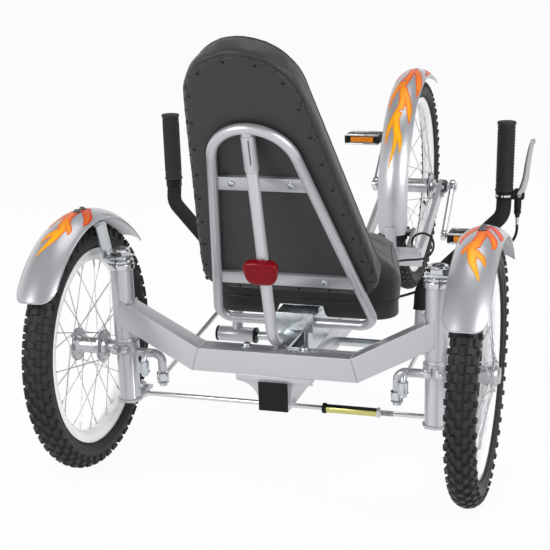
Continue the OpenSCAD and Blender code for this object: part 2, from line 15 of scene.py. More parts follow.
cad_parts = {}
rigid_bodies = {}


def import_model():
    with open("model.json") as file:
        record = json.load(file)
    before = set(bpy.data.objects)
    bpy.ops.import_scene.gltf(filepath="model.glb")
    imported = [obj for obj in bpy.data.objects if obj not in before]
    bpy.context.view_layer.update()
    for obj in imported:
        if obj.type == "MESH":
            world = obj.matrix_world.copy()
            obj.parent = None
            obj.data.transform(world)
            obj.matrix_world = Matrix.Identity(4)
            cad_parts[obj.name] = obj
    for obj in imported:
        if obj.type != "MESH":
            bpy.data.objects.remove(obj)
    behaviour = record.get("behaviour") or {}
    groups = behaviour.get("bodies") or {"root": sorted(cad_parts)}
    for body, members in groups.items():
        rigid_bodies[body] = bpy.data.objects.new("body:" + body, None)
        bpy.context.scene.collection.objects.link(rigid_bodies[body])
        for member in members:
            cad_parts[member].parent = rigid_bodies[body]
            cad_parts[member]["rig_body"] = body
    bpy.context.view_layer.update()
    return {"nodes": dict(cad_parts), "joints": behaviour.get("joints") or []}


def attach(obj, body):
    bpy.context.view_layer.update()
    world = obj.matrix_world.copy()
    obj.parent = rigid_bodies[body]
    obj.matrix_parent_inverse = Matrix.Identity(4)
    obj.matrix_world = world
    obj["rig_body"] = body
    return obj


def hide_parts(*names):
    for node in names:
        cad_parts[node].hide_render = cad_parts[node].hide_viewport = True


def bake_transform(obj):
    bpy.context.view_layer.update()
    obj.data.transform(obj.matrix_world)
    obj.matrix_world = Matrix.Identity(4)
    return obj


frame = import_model()

MM = 0.001
UP = (0, 0, 1)
joints = {joint["name"]: joint for joint in frame["joints"]}
kingpin = Vector(joints["right_steer"]["pos_m"])
axle_y = kingpin.y
rear_hub = Vector(joints["right_wheel_spin"]["pos_m"])
left_hub = Vector((-rear_hub.x, rear_hub.y, rear_hub.z))
front_hub = Vector(joints["front_wheel_spin"]["pos_m"])
shaft = Vector(joints["right_lever_swing"]["pos_m"])
scene = bpy.context.scene


def at(x, y, z):
    """A point given in millimetres about the rear axle line."""
    return Vector((x * MM, axle_y + y * MM, z * MM))


# ---- camera, light and floor ----

def place_camera():
    turn, dip, roll = radians(-15.5), radians(19.6), radians(-0.97)
    forward = Vector((sin(turn) * cos(dip), cos(turn) * cos(dip), -sin(dip)))
    right = Vector((cos(turn), -sin(turn), 0))
    up = right.cross(forward)
    tilted = Matrix((right, up, -forward)).transposed() @ Matrix.Rotation(roll, 3, "Z")
    data = bpy.data.cameras.new("camera")
    data.lens, data.sensor_width = 77.1, 36
    data.shift_x, data.shift_y = -0.0735, 0.161
    camera = bpy.data.objects.new("camera", data)
    camera.matrix_world = Matrix.Translation(at(525.7, -1666.1, 814.6)) @ tilted.to_4x4()
    scene.collection.objects.link(camera)
    scene.camera = camera


def softbox(name, place, target, size, power):
    data = bpy.data.lights.new(name, "AREA")
    data.shape, data.size, data.energy = "DISK", size, power
    lamp = bpy.data.objects.new(name, data)
    lamp.location = place
    lamp.rotation_euler = (Vector(target) - Vector(place)).to_track_quat("-Z", "Y").to_euler()
    scene.collection.objects.link(lamp)


def light_studio():
    middle = (0, 0, 0.3)
    softbox("key_light", (-1.6, -2.8, 1.7), middle, 1.6, 44)
    softbox("fill_light", (2.6, -1.5, 1.7), middle, 1.8, 50)
    softbox("top_light", (0.2, 0.6, 3.2), middle, 2.0, 18)
    world = bpy.data.worlds.new("studio")
    world.use_nodes = True
    make = Shader(world.node_tree)
    # the white sweep ends a little above the horizon, and a grey ceiling follows
    heading = make.add("ShaderNodeNewGeometry").outputs["Position"]
    height = make.add("ShaderNodeSeparateXYZ", {0: heading}).outputs[2]
    sweep = make.ramp(height, (0.25, 1.0), (0.62, 0.28))
    room_grey = (0.50, 0.505, 0.52, 1)
    inputs = {0: white_to_the_eye(make), 6: room_grey, 7: sweep}
    shown_sky = make.add("ShaderNodeMix", inputs, data_type="RGBA").outputs[2]
    make.tree.links.new(shown_sky, make.tree.nodes["Background"].inputs["Color"])
    scene.world = world
    scene.view_settings.view_transform = "Standard"


def white_to_the_eye(make):
    """1 on rays from the camera and on sharp reflections and transmissions."""
    rays = make.add("ShaderNodeLightPath").outputs
    seen = make.math("MAXIMUM", rays["Is Camera Ray"], rays["Is Glossy Ray"])
    return make.math("MAXIMUM", seen, rays["Is Transmission Ray"])


def lay_floor():
    material = bpy.data.materials.new("studio_floor")
    material.use_nodes = True
    make = Shader(material.node_tree)
    plain = make.tree.nodes["Principled BSDF"]
    plain.inputs["Base Color"].default_value = (0.9, 0.9, 0.9, 1)
    plain.inputs["Roughness"].default_value = 0.9
    glow = make.add("ShaderNodeEmission").outputs[0]
    share = make.times(white_to_the_eye(make), 0.93)
    mixed = make.add("ShaderNodeMixShader", {0: share, 1: plain.outputs[0], 2: glow}).outputs[0]
    make.tree.links.new(mixed, make.tree.nodes["Material Output"].inputs["Surface"])
    half = 40
    corners = [(-half, -half, 0), (half, -half, 0), (half, half, 0), (-half, half, 0)]
    floor = piece("floor", corners, [(0, 1, 2, 3)], material)


# ---- shader groups and finishes ----

def effect(name, inputs, outputs):
    """A shader node group with these float inputs and outputs, on object coordinates."""
    group = bpy.data.node_groups.new(name, "ShaderNodeTree")
    for label, value in inputs.items():
        socket = group.interface.new_socket(label, in_out="INPUT", socket_type="NodeSocketFloat")
        socket.default_value = value
    for label in outputs:
        group.interface.new_socket(label, in_out="OUTPUT", socket_type="NodeSocketFloat")
    make = Shader(group)
    given, out = group.nodes.new("NodeGroupInput"), group.nodes.new("NodeGroupOutput")
    make.place = make.add("ShaderNodeTexCoord").outputs["Object"]
    return group, make, given.outputs, out.inputs


class Shader:
    """Adds nodes to a tree, one call each."""

    def __init__(self, tree):
        self.tree = tree

    def add(self, kind, inputs=None, **settings):
        node = self.tree.nodes.new(kind)
        for key, value in settings.items():
            setattr(node, key, value)
        for key, value in (inputs or {}).items():
            if isinstance(value, bpy.types.NodeSocket):
                self.tree.links.new(value, node.inputs[key])
            else:
                node.inputs[key].default_value = value
        return node

    def out(self, kind, settings=None, **inputs):
        """First output of a new node whose inputs are given by name."""
        named = {key.replace("_", " "): value for key, value in inputs.items()}
        return self.add(kind, named, **(settings or {})).outputs[0]

    def math(self, operation, a, b=0.0):
        return self.add("ShaderNodeMath", {0: a, 1: b}, operation=operation).outputs[0]

    def times(self, a, b):
        return self.math("MULTIPLY", a, b)

    def ramp(self, value, *stops):
        """Colour ramp; each stop is (place, grey or colour)."""
        node = self.add("ShaderNodeValToRGB", {0: value})
        for i, (place, colour) in enumerate(stops):
            stop = node.color_ramp.elements[i] if i < 2 else node.color_ramp.elements.new(place)
            stop.position = place
            stop.color = (*colour, 1) if isinstance(colour, tuple) else (colour, colour, colour, 1)
        return node.outputs[0]

    def noise(self, scale, detail):
        return self.out("ShaderNodeTexNoise", Vector=self.place, Scale=scale, Detail=detail)

    def cells(self, scale, feature="F1"):
        return self.add("ShaderNodeTexVoronoi", {"Vector": self.place, "Scale": scale}, feature=feature)


def build_effects():
    effects = {}

    def close(name, group, make, out, **sockets):
        for label, socket in sockets.items():
            make.tree.links.new(socket, out[label])
        effects[name] = group

    # fine random grain, with a slower drift of tone
    group, make, given, out = effect("grain", {"Scale": 900, "Drift": 6}, ("Height", "Tone"))
    close("grain", group, make, out, Height=make.noise(given["Scale"], 4), Tone=make.noise(given["Drift"], 2))
    # pebbled hide: cells with creases between them
    group, make, given, out = effect("hide", {"Scale": 420}, ("Height", "Crease"))
    cells = make.cells(given["Scale"], "DISTANCE_TO_EDGE").outputs["Distance"]
    crease = make.ramp(cells, (0.0, 0.0), (0.16, 1.0))
    wave = make.times(make.noise(given["Scale"], 2), 0.4)
    close("hide", group, make, out, Height=make.math("ADD", crease, wave), Crease=crease)
    # metal flakes under lacquer: each flake has its own tone
    group, make, given, out = effect("flakes", {"Scale": 2600, "Spread": 0.12}, ("Tone", "Height"))
    colour = make.cells(given["Scale"]).outputs["Color"]
    flake = make.add("ShaderNodeSeparateColor", {0: colour}).outputs[0]
    tone = make.times(make.math("SUBTRACT", flake, 0.5), given["Spread"])
    close("flakes", group, make, out, Tone=tone, Height=flake)
    # dust that settles on what faces up, in patches
    group, make, given, out = effect("dust", {"Amount": 0.2, "Scale": 9}, ("Mask",))
    normal = make.add("ShaderNodeNewGeometry").outputs["Normal"]
    upward = make.add("ShaderNodeSeparateXYZ", {0: normal}).outputs[2]
    facing = make.add("ShaderNodeMapRange", {0: upward, 1: 0.1, 2: 1.0}).outputs[0]
    patches = make.ramp(make.noise(given["Scale"], 5), (0.35, 0.2), (0.7, 1.0))
    settled = make.times(facing, patches)
    close("dust", group, make, out, Mask=make.times(settled, given["Amount"]))
    return effects


def grey(value):
    return (value, value, value)


class Finish(Shader):
    """A material on one Principled BSDF, with effects fed into it."""

    def __init__(self, name, colour, roughness, metallic=0.0, coat=0.0, **sockets):
        self.material = bpy.data.materials.new(name)
        self.material.use_nodes = True
        super().__init__(self.material.node_tree)
        self.place = self.add("ShaderNodeTexCoord").outputs["Object"]
        self.base = self.tree.nodes["Principled BSDF"]
        self.colour = colour
        self.base.inputs["Base Color"].default_value = (*colour, 1)
        self.base.inputs["Roughness"].default_value = roughness
        self.base.inputs["Metallic"].default_value = metallic
        self.base.inputs["Coat Weight"].default_value = coat
        for key, value in sockets.items():
            self.base.inputs[key.replace("_", " ").title().replace("Ior", "IOR")].default_value = value

    def use(self, group, **values):
        node = self.add("ShaderNodeGroup", node_tree=effects[group])
        for key, value in values.items():
            node.inputs[key.title()].default_value = value
        return node.outputs

    def tone(self, mask, other, source=None):
        """Base colour goes towards other where mask is 1."""
        inputs = {0: mask, 6: source or (*self.colour, 1), 7: (*other, 1)}
        mixed = self.add("ShaderNodeMix", inputs, data_type="RGBA").outputs[2]
        self.tree.links.new(mixed, self.base.inputs["Base Color"])
        return mixed

    def rough(self, value, low, high):
        spread = self.add("ShaderNodeMapRange", {0: value, 3: low, 4: high}).outputs[0]
        self.tree.links.new(spread, self.base.inputs["Roughness"])

    def bump(self, height, depth, strength=0.5):
        inputs = {"Height": height, "Distance": depth, "Strength": strength}
        normal = self.add("ShaderNodeBump", inputs).outputs[0]
        self.tree.links.new(normal, self.base.inputs["Normal"])


def silver_lacquer(name, colour, metallic, dust=0.1):
    finish = Finish(name, colour, 0.34, metallic, coat=0.5, coat_roughness=0.12)
    flakes = finish.use("flakes")
    mask = finish.math("ADD", finish.use("grain", drift=5)["Tone"], flakes["Tone"])
    light = finish.tone(mask, tuple(min(1, 1.16 * c) for c in colour))
    finish.tone(finish.use("dust", amount=dust)["Mask"], (0.55, 0.54, 0.52), light)
    finish.rough(mask, 0.28, 0.4)
    finish.bump(flakes["Height"], 0.02 * MM, 0.25)
    return finish.material


def bright_metal(name, colour, low, high):
    finish = Finish(name, colour, low, 1.0)
    grain = finish.use("grain", scale=300, drift=14)
    finish.tone(grain["Tone"], tuple(0.82 * c for c in colour))
    finish.rough(grain["Tone"], low, high)
    finish.bump(grain["Height"], 0.02 * MM, 0.2)
    return finish.material


def galvanised():
    finish = Finish("galvanised_steel", (0.50, 0.54, 0.57), 0.3, 1.0)
    spangle = finish.cells(190).outputs["Color"]
    tone = finish.add("ShaderNodeSeparateColor", {0: spangle}).outputs[0]
    finish.tone(tone, (0.58, 0.625, 0.64))
    finish.rough(tone, 0.26, 0.36)
    finish.bump(finish.use("grain")["Height"], 0.03 * MM, 0.3)
    return finish.material


def matte_black(name, tone, roughness, scale, depth):
    finish = Finish(name, grey(tone), roughness, specular_ior_level=0.16)
    grain = finish.use("grain", scale=scale, drift=8)
    lighter = finish.tone(grain["Tone"], grey(1.7 * tone))
    finish.tone(finish.use("dust", amount=0.05)["Mask"], grey(0.16), lighter)
    finish.rough(grain["Tone"], roughness - 0.08, roughness + 0.1)
    finish.bump(grain["Height"], depth * MM, 0.5)
    return finish.material


def tyre_rubber():
    finish = Finish("tyre_rubber", grey(0.014), 0.55, specular_ior_level=0.28)
    grain = finish.use("grain", scale=420, drift=11)
    lighter = finish.tone(grain["Tone"], grey(0.03))
    finish.tone(finish.use("dust", amount=0.12, scale=16)["Mask"], (0.13, 0.125, 0.12), lighter)
    finish.rough(grain["Tone"], 0.4, 0.7)
    finish.bump(grain["Height"], 0.15 * MM, 0.5)
    return finish.material


def black_vinyl():
    finish = Finish("black_vinyl", grey(0.016), 0.42, sheen_weight=0.1, sheen_roughness=0.5,
                    specular_ior_level=0.34)
    hide = finish.use("hide", scale=900)
    grain = finish.use("grain", drift=7)
    # painted shade: the creases between the pebbles keep the darker base colour and the pebble tops are made
    # lighter
    crease_shaded = finish.tone(hide["Crease"], grey(0.032))
    finish.tone(finish.use("dust", amount=0.1, scale=6)["Mask"], grey(0.12), crease_shaded)
    finish.rough(grain["Tone"], 0.36, 0.55)
    finish.bump(hide["Height"], 0.1 * MM, 0.45)
    return finish.material


def white_gloss():
    finish = Finish("white_gloss_paint", grey(0.86), 0.25, coat=0.4)
    tone = finish.use("grain", drift=9)
    finish.tone(tone["Tone"], grey(0.93))
    finish.rough(tone["Tone"], 0.2, 0.34)
    finish.bump(tone["Height"], 0.02 * MM, 0.2)
    return finish.material


def lens(name, colour, deep):
    """Moulded reflector: small prisms behind a smooth glossy face."""
    finish = Finish(name, colour, 0.12, specular_ior_level=0.16)
    prism = finish.cells(330).outputs["Distance"]
    mask = finish.ramp(prism, (0.1, 0.0), (0.9, 1.0))
    finish.tone(mask, deep)
    finish.rough(mask, 0.1, 0.2)
    finish.bump(prism, 0.1 * MM, 0.25)
    return finish.material


def flame_paint():
    """Transfer paint that runs from yellow to red with its heat."""
    finish = Finish("flame_paint", (0.95, 0.45, 0.02), 0.3, specular_ior_level=0.25)
    heat = finish.add("ShaderNodeAttribute", attribute_name="warmth").outputs["Fac"]
    drift = finish.math("SUBTRACT", finish.times(finish.noise(30, 2), 0.22), 0.11)
    yellow, orange, red = (0.90, 0.46, 0.01), (0.86, 0.19, 0.008), (0.66, 0.035, 0.008)
    shade = finish.ramp(finish.math("ADD", heat, drift), (0.12, yellow), (0.48, orange), (0.85, red))
    finish.tree.links.new(shade, finish.base.inputs["Base Color"])
    finish.rough(heat, 0.26, 0.36)
    finish.bump(finish.use("flakes")["Height"], 0.02 * MM, 0.2)
    return finish.material


# ---- building meshes ----

def shown(name, mesh, material, crease=35):
    """An object for a mesh, smooth except across edges sharper than crease degrees."""
    mesh.materials.append(material)
    mesh.shade_smooth()
    mesh.set_sharp_from_angle(angle=radians(crease))
    made = bpy.data.objects.new(name, mesh)
    scene.collection.objects.link(made)
    return made


def piece(name, points, faces, material, crease=35):
    mesh = bpy.data.meshes.new(name)
    mesh.from_pydata([tuple(p) for p in points], [], faces)
    return shown(name, mesh, material, crease)


def face_outwards(obj):
    work = bmesh.new()
    work.from_mesh(obj.data)
    bmesh.ops.remove_doubles(work, verts=work.verts, dist=1e-6)
    bmesh.ops.recalc_face_normals(work, faces=work.faces)
    work.to_mesh(obj.data)
    work.free()
    return obj


def loft(name, rings, material, ends=True, closed=False, crease=35):
    """Skin over rings of equally many points; closed joins the last ring to the first."""
    count = len(rings[0])
    points = [p for ring in rings for p in ring]
    faces = []
    for i in range(len(rings) - (0 if closed else 1)):
        a, b = i * count, ((i + 1) % len(rings)) * count
        faces += [(a + k, a + (k + 1) % count, b + (k + 1) % count, b + k) for k in range(count)]
    if ends and not closed:
        faces += [tuple(range(count))[::-1], tuple(len(points) - count + k for k in range(count))]
    return face_outwards(piece(name, points, faces, material, crease))


def turned(name, place, profile, material, axis=(1, 0, 0), sides=48, closed=False, crease=35):
    """Turned piece: profile holds (distance along the axis, radius) in millimetres."""
    along = Vector(axis).normalized()
    across = along.orthogonal().normalized()
    third = along.cross(across)
    rings = []
    for offset, radius in profile:
        foot, out = Vector(place) + along * offset * MM, max(radius, 0.01) * MM
        rings.append([foot + (across * cos(angle) + third * sin(angle)) * out for angle in full_turn(sides)])
    return loft(name, rings, material, closed=closed, crease=crease)


def full_turn(count):
    return [2 * pi * k / count for k in range(count)]


def hoop_profile(bore, radius, start, width, axial=0.8, radial=0.8):
    """Section of a ring with both outer edges broken, for turned()."""
    end = start + width
    return [(start, bore), (start, radius - radial), (start + axial, radius), (end - axial, radius),
            (end, radius - radial), (end, bore)]


def smooth_route(points, steps=4):
    """Points on a smooth curve through the given ones."""
    ends = [points[0] * 2 - points[1], *points, points[-1] * 2 - points[-2]]
    route = []
    for a, b, c, d in zip(ends, ends[1:], ends[2:], ends[3:]):
        for i in range(steps):
            t = i / steps
            route.append(0.5 * (2 * b + (c - a) * t + (2 * a - 5 * b + 4 * c - d) * t * t
                                + (3 * b - a - 3 * c + d) * t ** 3))
    return route + [points[-1]]


def tube(name, route, radius, material, sides=12, closed=False, flat=1.0, facing=UP):
    """Tube along a route; radius in millimetres, or a function of 0 to 1; flat squeezes it along facing."""
    size = radius if callable(radius) else lambda t: radius
    last = len(route) - 1
    rings, side = [], Vector(facing)
    for i, point in enumerate(route):
        if closed:
            heading = (route[(i + 1) % len(route)] - route[i - 1]).normalized()
        else:
            heading = (route[min(i + 1, last)] - route[max(i - 1, 0)]).normalized()
        side = (side - heading * side.dot(heading)).normalized()
        other, r = heading.cross(side), size(i / last) * MM
        rings.append([point + (side * cos(angle) * flat + other * sin(angle)) * r
                      for angle in full_turn(sides)])
    return loft(name, rings, material, closed=closed)


def block(name, low, high, bevel, material, place=None):
    """Box between two corners, its edges rounded by bevel millimetres."""
    work = bmesh.new()
    bmesh.ops.create_cube(work, size=1)
    low, high = Vector(low), Vector(high)
    for vert in work.verts:
        vert.co = Vector([(low[i] + high[i]) / 2 + vert.co[i] * (high[i] - low[i]) for i in range(3)])
    bmesh.ops.bevel(work, geom=work.edges[:], offset=bevel * MM, segments=3, profile=0.5, affect="EDGES")
    if place:
        work.transform(place)
    mesh = bpy.data.meshes.new(name)
    work.to_mesh(mesh)
    work.free()
    return shown(name, mesh, material, 40)


def baked(obj):
    """Turns an object's modifiers into plain mesh."""
    bpy.context.view_layer.update()
    solid = bpy.data.meshes.new_from_object(obj.evaluated_get(bpy.context.evaluated_depsgraph_get()))
    obj.modifiers.clear()
    obj.data = solid
    return obj


def joined(name, *parts):
    """One object from several, keeping each one's materials."""
    with bpy.context.temp_override(active_object=parts[0], selected_editable_objects=list(parts)):
        bpy.ops.object.join()
    parts[0].name = name
    return parts[0]


def fit(obj, body, slot, *stands_for):
    """Puts a finished piece on its body, in place of CAD nodes; slot is not used."""
    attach(obj, body)
    if stands_for:
        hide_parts(*stands_for)
    return obj


def softened(node, material, slot, width=1.0, segments=2):
    """A copy of a CAD node with its edges rounded, which stands for the node."""
    mesh = frame["nodes"][node].data.copy()
    work = bmesh.new()
    work.from_mesh(mesh)
    bmesh.ops.remove_doubles(work, verts=work.verts, dist=2e-6)
    bmesh.ops.dissolve_limit(work, angle_limit=radians(0.6), verts=work.verts, edges=work.edges)
    work.to_mesh(mesh)
    work.free()
    mesh.materials.clear()
    mesh.materials.append(material)
    made = bpy.data.objects.new(node + "_finished", mesh)
    scene.collection.objects.link(made)
    bevel = made.modifiers.new("rounded", "BEVEL")
    bevel.width, bevel.segments, bevel.angle_limit = width * MM, segments, radians(32)
    bevel.limit_method, bevel.use_clamp_overlap, bevel.harden_normals = "ANGLE", True, False
    bevel.miter_outer = "MITER_ARC"
    made = baked(made)
    made.data.shade_smooth()
    made.data.set_sharp_from_angle(angle=radians(38))
    return fit(made, frame["nodes"][node]["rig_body"], slot, node)


# ---- geometry node trees ----

class Growth(Shader):
    """A Geometry Nodes tree with named inputs, which ends realized and with its material."""

    def __init__(self, name, **inputs):
        super().__init__(bpy.data.node_groups.new(name, "GeometryNodeTree"))
        face = self.tree.interface
        face.new_socket("Geometry", in_out="INPUT", socket_type="NodeSocketGeometry")
        for label, value in inputs.items():
            kind = {int: "Int", float: "Float", str: "Material"}[type(value)]
            socket = face.new_socket(label, in_out="INPUT", socket_type="NodeSocket" + kind)
            if kind != "Material":
                socket.default_value = value
        face.new_socket("Geometry", in_out="OUTPUT", socket_type="NodeSocketGeometry")
        self.given = self.tree.nodes.new("NodeGroupInput").outputs

    def vector(self, x=0.0, y=0.0, z=0.0):
        return self.out("ShaderNodeCombineXYZ", X=x, Y=y, Z=z)

    def moved(self, shape, **how):
        return self.out("GeometryNodeTransform", Geometry=shape, **how)

    def placed(self, points, shape, rotation, **more):
        inputs = {"Points": points, "Instance": shape, "Rotation": rotation, **more}
        return self.add("GeometryNodeInstanceOnPoints", inputs).outputs[0]

    def ring(self, shape, count, phase):
        """Instances of a shape turned about the X axis, count of them evenly."""
        points = self.out("GeometryNodePoints", Count=count)
        index = self.math("ADD", self.out("GeometryNodeInputIndex"), phase)
        angle = self.times(self.math("DIVIDE", index, count), 2 * pi)
        return self.placed(points, shape, self.vector(angle))

    def joined(self, shapes):
        join = self.add("GeometryNodeJoinGeometry")
        for shape in shapes:
            self.tree.links.new(shape, join.inputs[0])
        return join.outputs[0]

    def finish(self, *shapes):
        real = self.out("GeometryNodeRealizeInstances", Geometry=self.joined(shapes))
        coated = self.out("GeometryNodeSetMaterial", Geometry=real, Material=self.given["Material"])
        end = self.tree.nodes.new("NodeGroupOutput")
        self.tree.links.new(coated, end.inputs[0])
        return self.tree


def grown(name, tree, material, base=None, centre=(0, 0, 0), crease=35, **values):
    """Runs a tree, on a base mesh or on nothing, and returns its result as a plain mesh."""
    made = bpy.data.objects.new(name, base or bpy.data.meshes.new(name))
    scene.collection.objects.link(made)
    modifier = made.modifiers.new(name, "NODES")
    modifier.node_group = tree
    sockets = {s.name: s.identifier for s in tree.interface.items_tree if s.in_out == "INPUT"}
    modifier[sockets["Material"]] = material
    for label, value in values.items():
        modifier[sockets[label.replace("_", " ").title()]] = value
    made = baked(made)
    made.data.transform(Matrix.Translation(centre))
    made.data.shade_smooth()
    made.data.set_sharp_from_angle(angle=radians(crease))
    return made


# rows of knobs across a tyre: tilt from the crown, half a step on or not, width and length
TREAD_ROWS = [(0, 0.0, 8.6, 9.6)]
for lean, half_step, wide, long in ((24, 0.5, 7.6, 10.5), (48, 0.0, 7.8, 12), (71, 0.5, 6.4, 8.5)):
    TREAD_ROWS += [(lean, half_step, wide, long), (-lean, half_step, wide, long)]


def tread_tree():
    """Rows of tapered knobs across a tyre, each row half a step from the next."""
    tree = Growth("tread", **{"Tyre Radius": 0.2, "Section Radius": 0.0245, "Height": 0.0035,
                              "Count": 52, "Material": ""})
    given = tree.given
    rings = []
    for tilt, phase, width, length in TREAD_ROWS:
        knob = tree.out("GeometryNodeMeshCone", Vertices=4, Radius_Top=0.6, Radius_Bottom=0.8,
                        Depth=given["Height"])
        squared = tree.moved(knob, Rotation=(0, 0, pi / 4))
        sized = tree.moved(squared, Scale=(width * MM, length * MM, 1))
        foot = tree.math("SUBTRACT", given["Section Radius"], given["Height"])
        lifted = tree.moved(sized, Translation=tree.vector(z=foot))
        leaned = tree.moved(lifted, Rotation=(0, radians(tilt), 0))
        crown = tree.math("SUBTRACT", given["Tyre Radius"], given["Section Radius"])
        placed = tree.moved(leaned, Translation=tree.vector(z=crown))
        rings.append(tree.ring(placed, given["Count"], phase))
    return tree.finish(*rings)


def lacing_tree():
    """Crossed wire spokes between two hub flanges and a rim, each with its nipple."""
    tree = Growth("lacing", **{"Flange Radius": 0.025, "Flange Offset": 0.023, "Rim Radius": 0.14,
                               "Wire Radius": 0.0011, "Crossing": 0.9, "Count": 28, "Material": ""})
    given = tree.given
    quarter = tree.math("DIVIDE", given["Count"], 4.0)
    rings = []
    for step, (side, lean) in enumerate(((1, 1), (-1, 1), (1, -1), (-1, -1))):
        turn = tree.times(given["Crossing"], -lean)
        foot = tree.vector(tree.times(given["Flange Offset"], side + 0.06 * side * lean),
                           tree.times(given["Flange Radius"], tree.math("COSINE", turn)),
                           tree.times(given["Flange Radius"], tree.math("SINE", turn)))
        head = tree.vector(side * 1.5 * MM, given["Rim Radius"])
        inward = tree.add("ShaderNodeVectorMath", {0: foot, 1: head}, operation="SUBTRACT").outputs[0]
        wire = tree.out("GeometryNodeCurvePrimitiveLine", Start=foot, End=head)
        nipple = tree.out("GeometryNodeCurvePrimitiveLine", {"mode": "DIRECTION"}, Start=head,
                          Direction=inward, Length=13 * MM)
        elbow = tree.out("GeometryNodeCurvePrimitiveLine", {"mode": "DIRECTION"}, Start=foot,
                         Direction=(side, 0, 0), Length=3 * MM)
        for path, share in ((wire, 1.0), (nipple, 1.9), (elbow, 2.0)):
            radius = tree.times(given["Wire Radius"], share)
            outline = tree.out("GeometryNodeCurvePrimitiveCircle", Resolution=6, Radius=radius)
            swept = tree.out("GeometryNodeCurveToMesh", Curve=path, Profile_Curve=outline, Fill_Caps=True)
            rings.append(tree.ring(swept, quarter, step / 4))
    return tree.finish(*rings)


def fastener_tree():
    """A domed or hexagonal head on each point of the base, along the point's axis attribute."""
    tree = Growth("fasteners", **{"Head Radius": 0.006, "Head Height": 0.004, "Dome": 0.5, "Sides": 24,
                                  "Washer Radius": 0.008, "Washer Height": 0.001, "Material": ""})
    given = tree.given
    radius, height, plate = given["Head Radius"], given["Head Height"], given["Washer Height"]
    flat_height = tree.times(height, tree.math("SUBTRACT", 1.0, given["Dome"]))
    base = tree.math("ADD", plate, tree.times(flat_height, 0.5))
    head = tree.out("GeometryNodeMeshCylinder", Vertices=given["Sides"], Radius=radius, Depth=flat_height)
    washer = tree.out("GeometryNodeMeshCylinder", Vertices=28, Radius=given["Washer Radius"], Depth=plate)
    sphere = tree.out("GeometryNodeMeshUVSphere", Segments=20, Rings=10, Radius=1.0)
    round_r = tree.times(radius, 0.94)
    rise = tree.math("MAXIMUM", tree.times(height, given["Dome"]), 1e-4)
    top = tree.math("ADD", plate, flat_height)
    bolt = tree.joined((
        tree.moved(head, Translation=tree.vector(z=base)),
        tree.moved(washer, Translation=tree.vector(z=tree.times(plate, 0.5))),
        tree.moved(sphere, Translation=tree.vector(z=top), Scale=tree.vector(round_r, round_r, rise))))
    axis = tree.out("GeometryNodeInputNamedAttribute", {"data_type": "FLOAT_VECTOR"}, Name="axis")
    turn = tree.out("FunctionNodeAlignRotationToVector", {"axis": "Z"}, Vector=axis)
    return tree.finish(tree.placed(given["Geometry"], bolt, turn))


def bead_tree():
    """Overlapping drops along the base's edges, as in a weld."""
    tree = Growth("beads", **{"Pitch": 0.0025, "Radius": 0.0022, "Length": 1.0, "Material": ""})
    given = tree.given
    path = tree.add("GeometryNodeMeshToCurve", {0: given["Geometry"]}).outputs[0]
    inputs = {"Curve": path, "Length": given["Pitch"]}
    drops = tree.add("GeometryNodeCurveToPoints", inputs, mode="LENGTH").outputs
    drop = tree.out("GeometryNodeMeshIcoSphere", Radius=given["Radius"], Subdivisions=2)
    stretch = tree.vector(1.0, 1.0, given["Length"])
    return tree.finish(tree.placed(drops["Points"], drop, drops["Rotation"], Scale=stretch))


def rib_tree():
    """Short slanted ribs round a grip, in rows that lean one way and then the other."""
    tree = Growth("ribs", **{"Radius": 0.0155, "Rows": 20, "Pitch": 0.005, "Count": 16, "Material": ""})
    given = tree.given
    rib = tree.out("GeometryNodeMeshCube", Size=(1.6 * MM, 6.4 * MM, 1.5 * MM))
    points = tree.out("GeometryNodePoints", Count=tree.times(given["Rows"], given["Count"]))
    index = tree.out("GeometryNodeInputIndex")
    share = tree.math("DIVIDE", index, given["Count"])
    row, angle = tree.math("FLOOR", share), tree.times(share, 2 * pi)
    place = tree.vector(tree.times(given["Radius"], tree.math("COSINE", angle)),
                        tree.times(given["Radius"], tree.math("SINE", angle)),
                        tree.times(row, given["Pitch"]))
    moved = tree.out("GeometryNodeSetPosition", Geometry=points, Position=place)
    slant = tree.times(tree.math("SUBTRACT", tree.math("MODULO", index, 2.0), 0.5), radians(56))
    return tree.finish(tree.placed(moved, rib, tree.vector(slant, z=angle)))


def spots(places, axes):
    """A mesh of loose points, each with its axis, for the fastener tree."""
    mesh = bpy.data.meshes.new("spots")
    mesh.from_pydata([tuple(place) for place in places], [], [])
    stored = mesh.attributes.new("axis", "FLOAT_VECTOR", "POINT")
    for item, axis in zip(stored.data, axes):
        item.vector = Vector(axis).normalized()
    return mesh


def line(points, closed=False):
    """A mesh of edges through the points, for the bead tree."""
    mesh = bpy.data.meshes.new("line")
    last = len(points) - 1
    edges = [(i, i + 1) for i in range(last)] + ([(last, 0)] if closed else [])
    mesh.from_pydata([tuple(p) for p in points], edges, [])
    return mesh


effects = build_effects()
SILVER = silver_lacquer("silver_lacquer", (0.47, 0.472, 0.50), 0.6)
FENDER = silver_lacquer("fender_lacquer", (0.46, 0.465, 0.49), 0.65, 0.05)
CHROME = bright_metal("polished_chrome", (0.66, 0.67, 0.69), 0.07, 0.18)
STEEL = bright_metal("drawn_steel", (0.62, 0.63, 0.66), 0.22, 0.36)
ALLOY = bright_metal("cast_alloy", (0.55, 0.555, 0.57), 0.22, 0.38)
DARK_STEEL = bright_metal("darkened_steel", (0.16, 0.16, 0.17), 0.2, 0.4)
OLIVE = bright_metal("yellow_passivated_zinc", (0.62, 0.60, 0.22), 0.25, 0.4)
ZINC = galvanised()
VINYL = black_vinyl()
PLASTIC = matte_black("moulded_plastic", 0.007, 0.36, 700, 0.04)
FOAM = matte_black("foam_rubber", 0.014, 0.85, 520, 0.35)
RUBBER = matte_black("grip_rubber", 0.022, 0.6, 480, 0.1)
TYRE = tyre_rubber()
WHITE = white_gloss()
RED_LENS = lens("red_lens", (0.24, 0.002, 0.009), (0.13, 0.001, 0.005))
AMBER_LENS = lens("amber_lens", (0.85, 0.30, 0.015), (0.5, 0.12, 0.005))
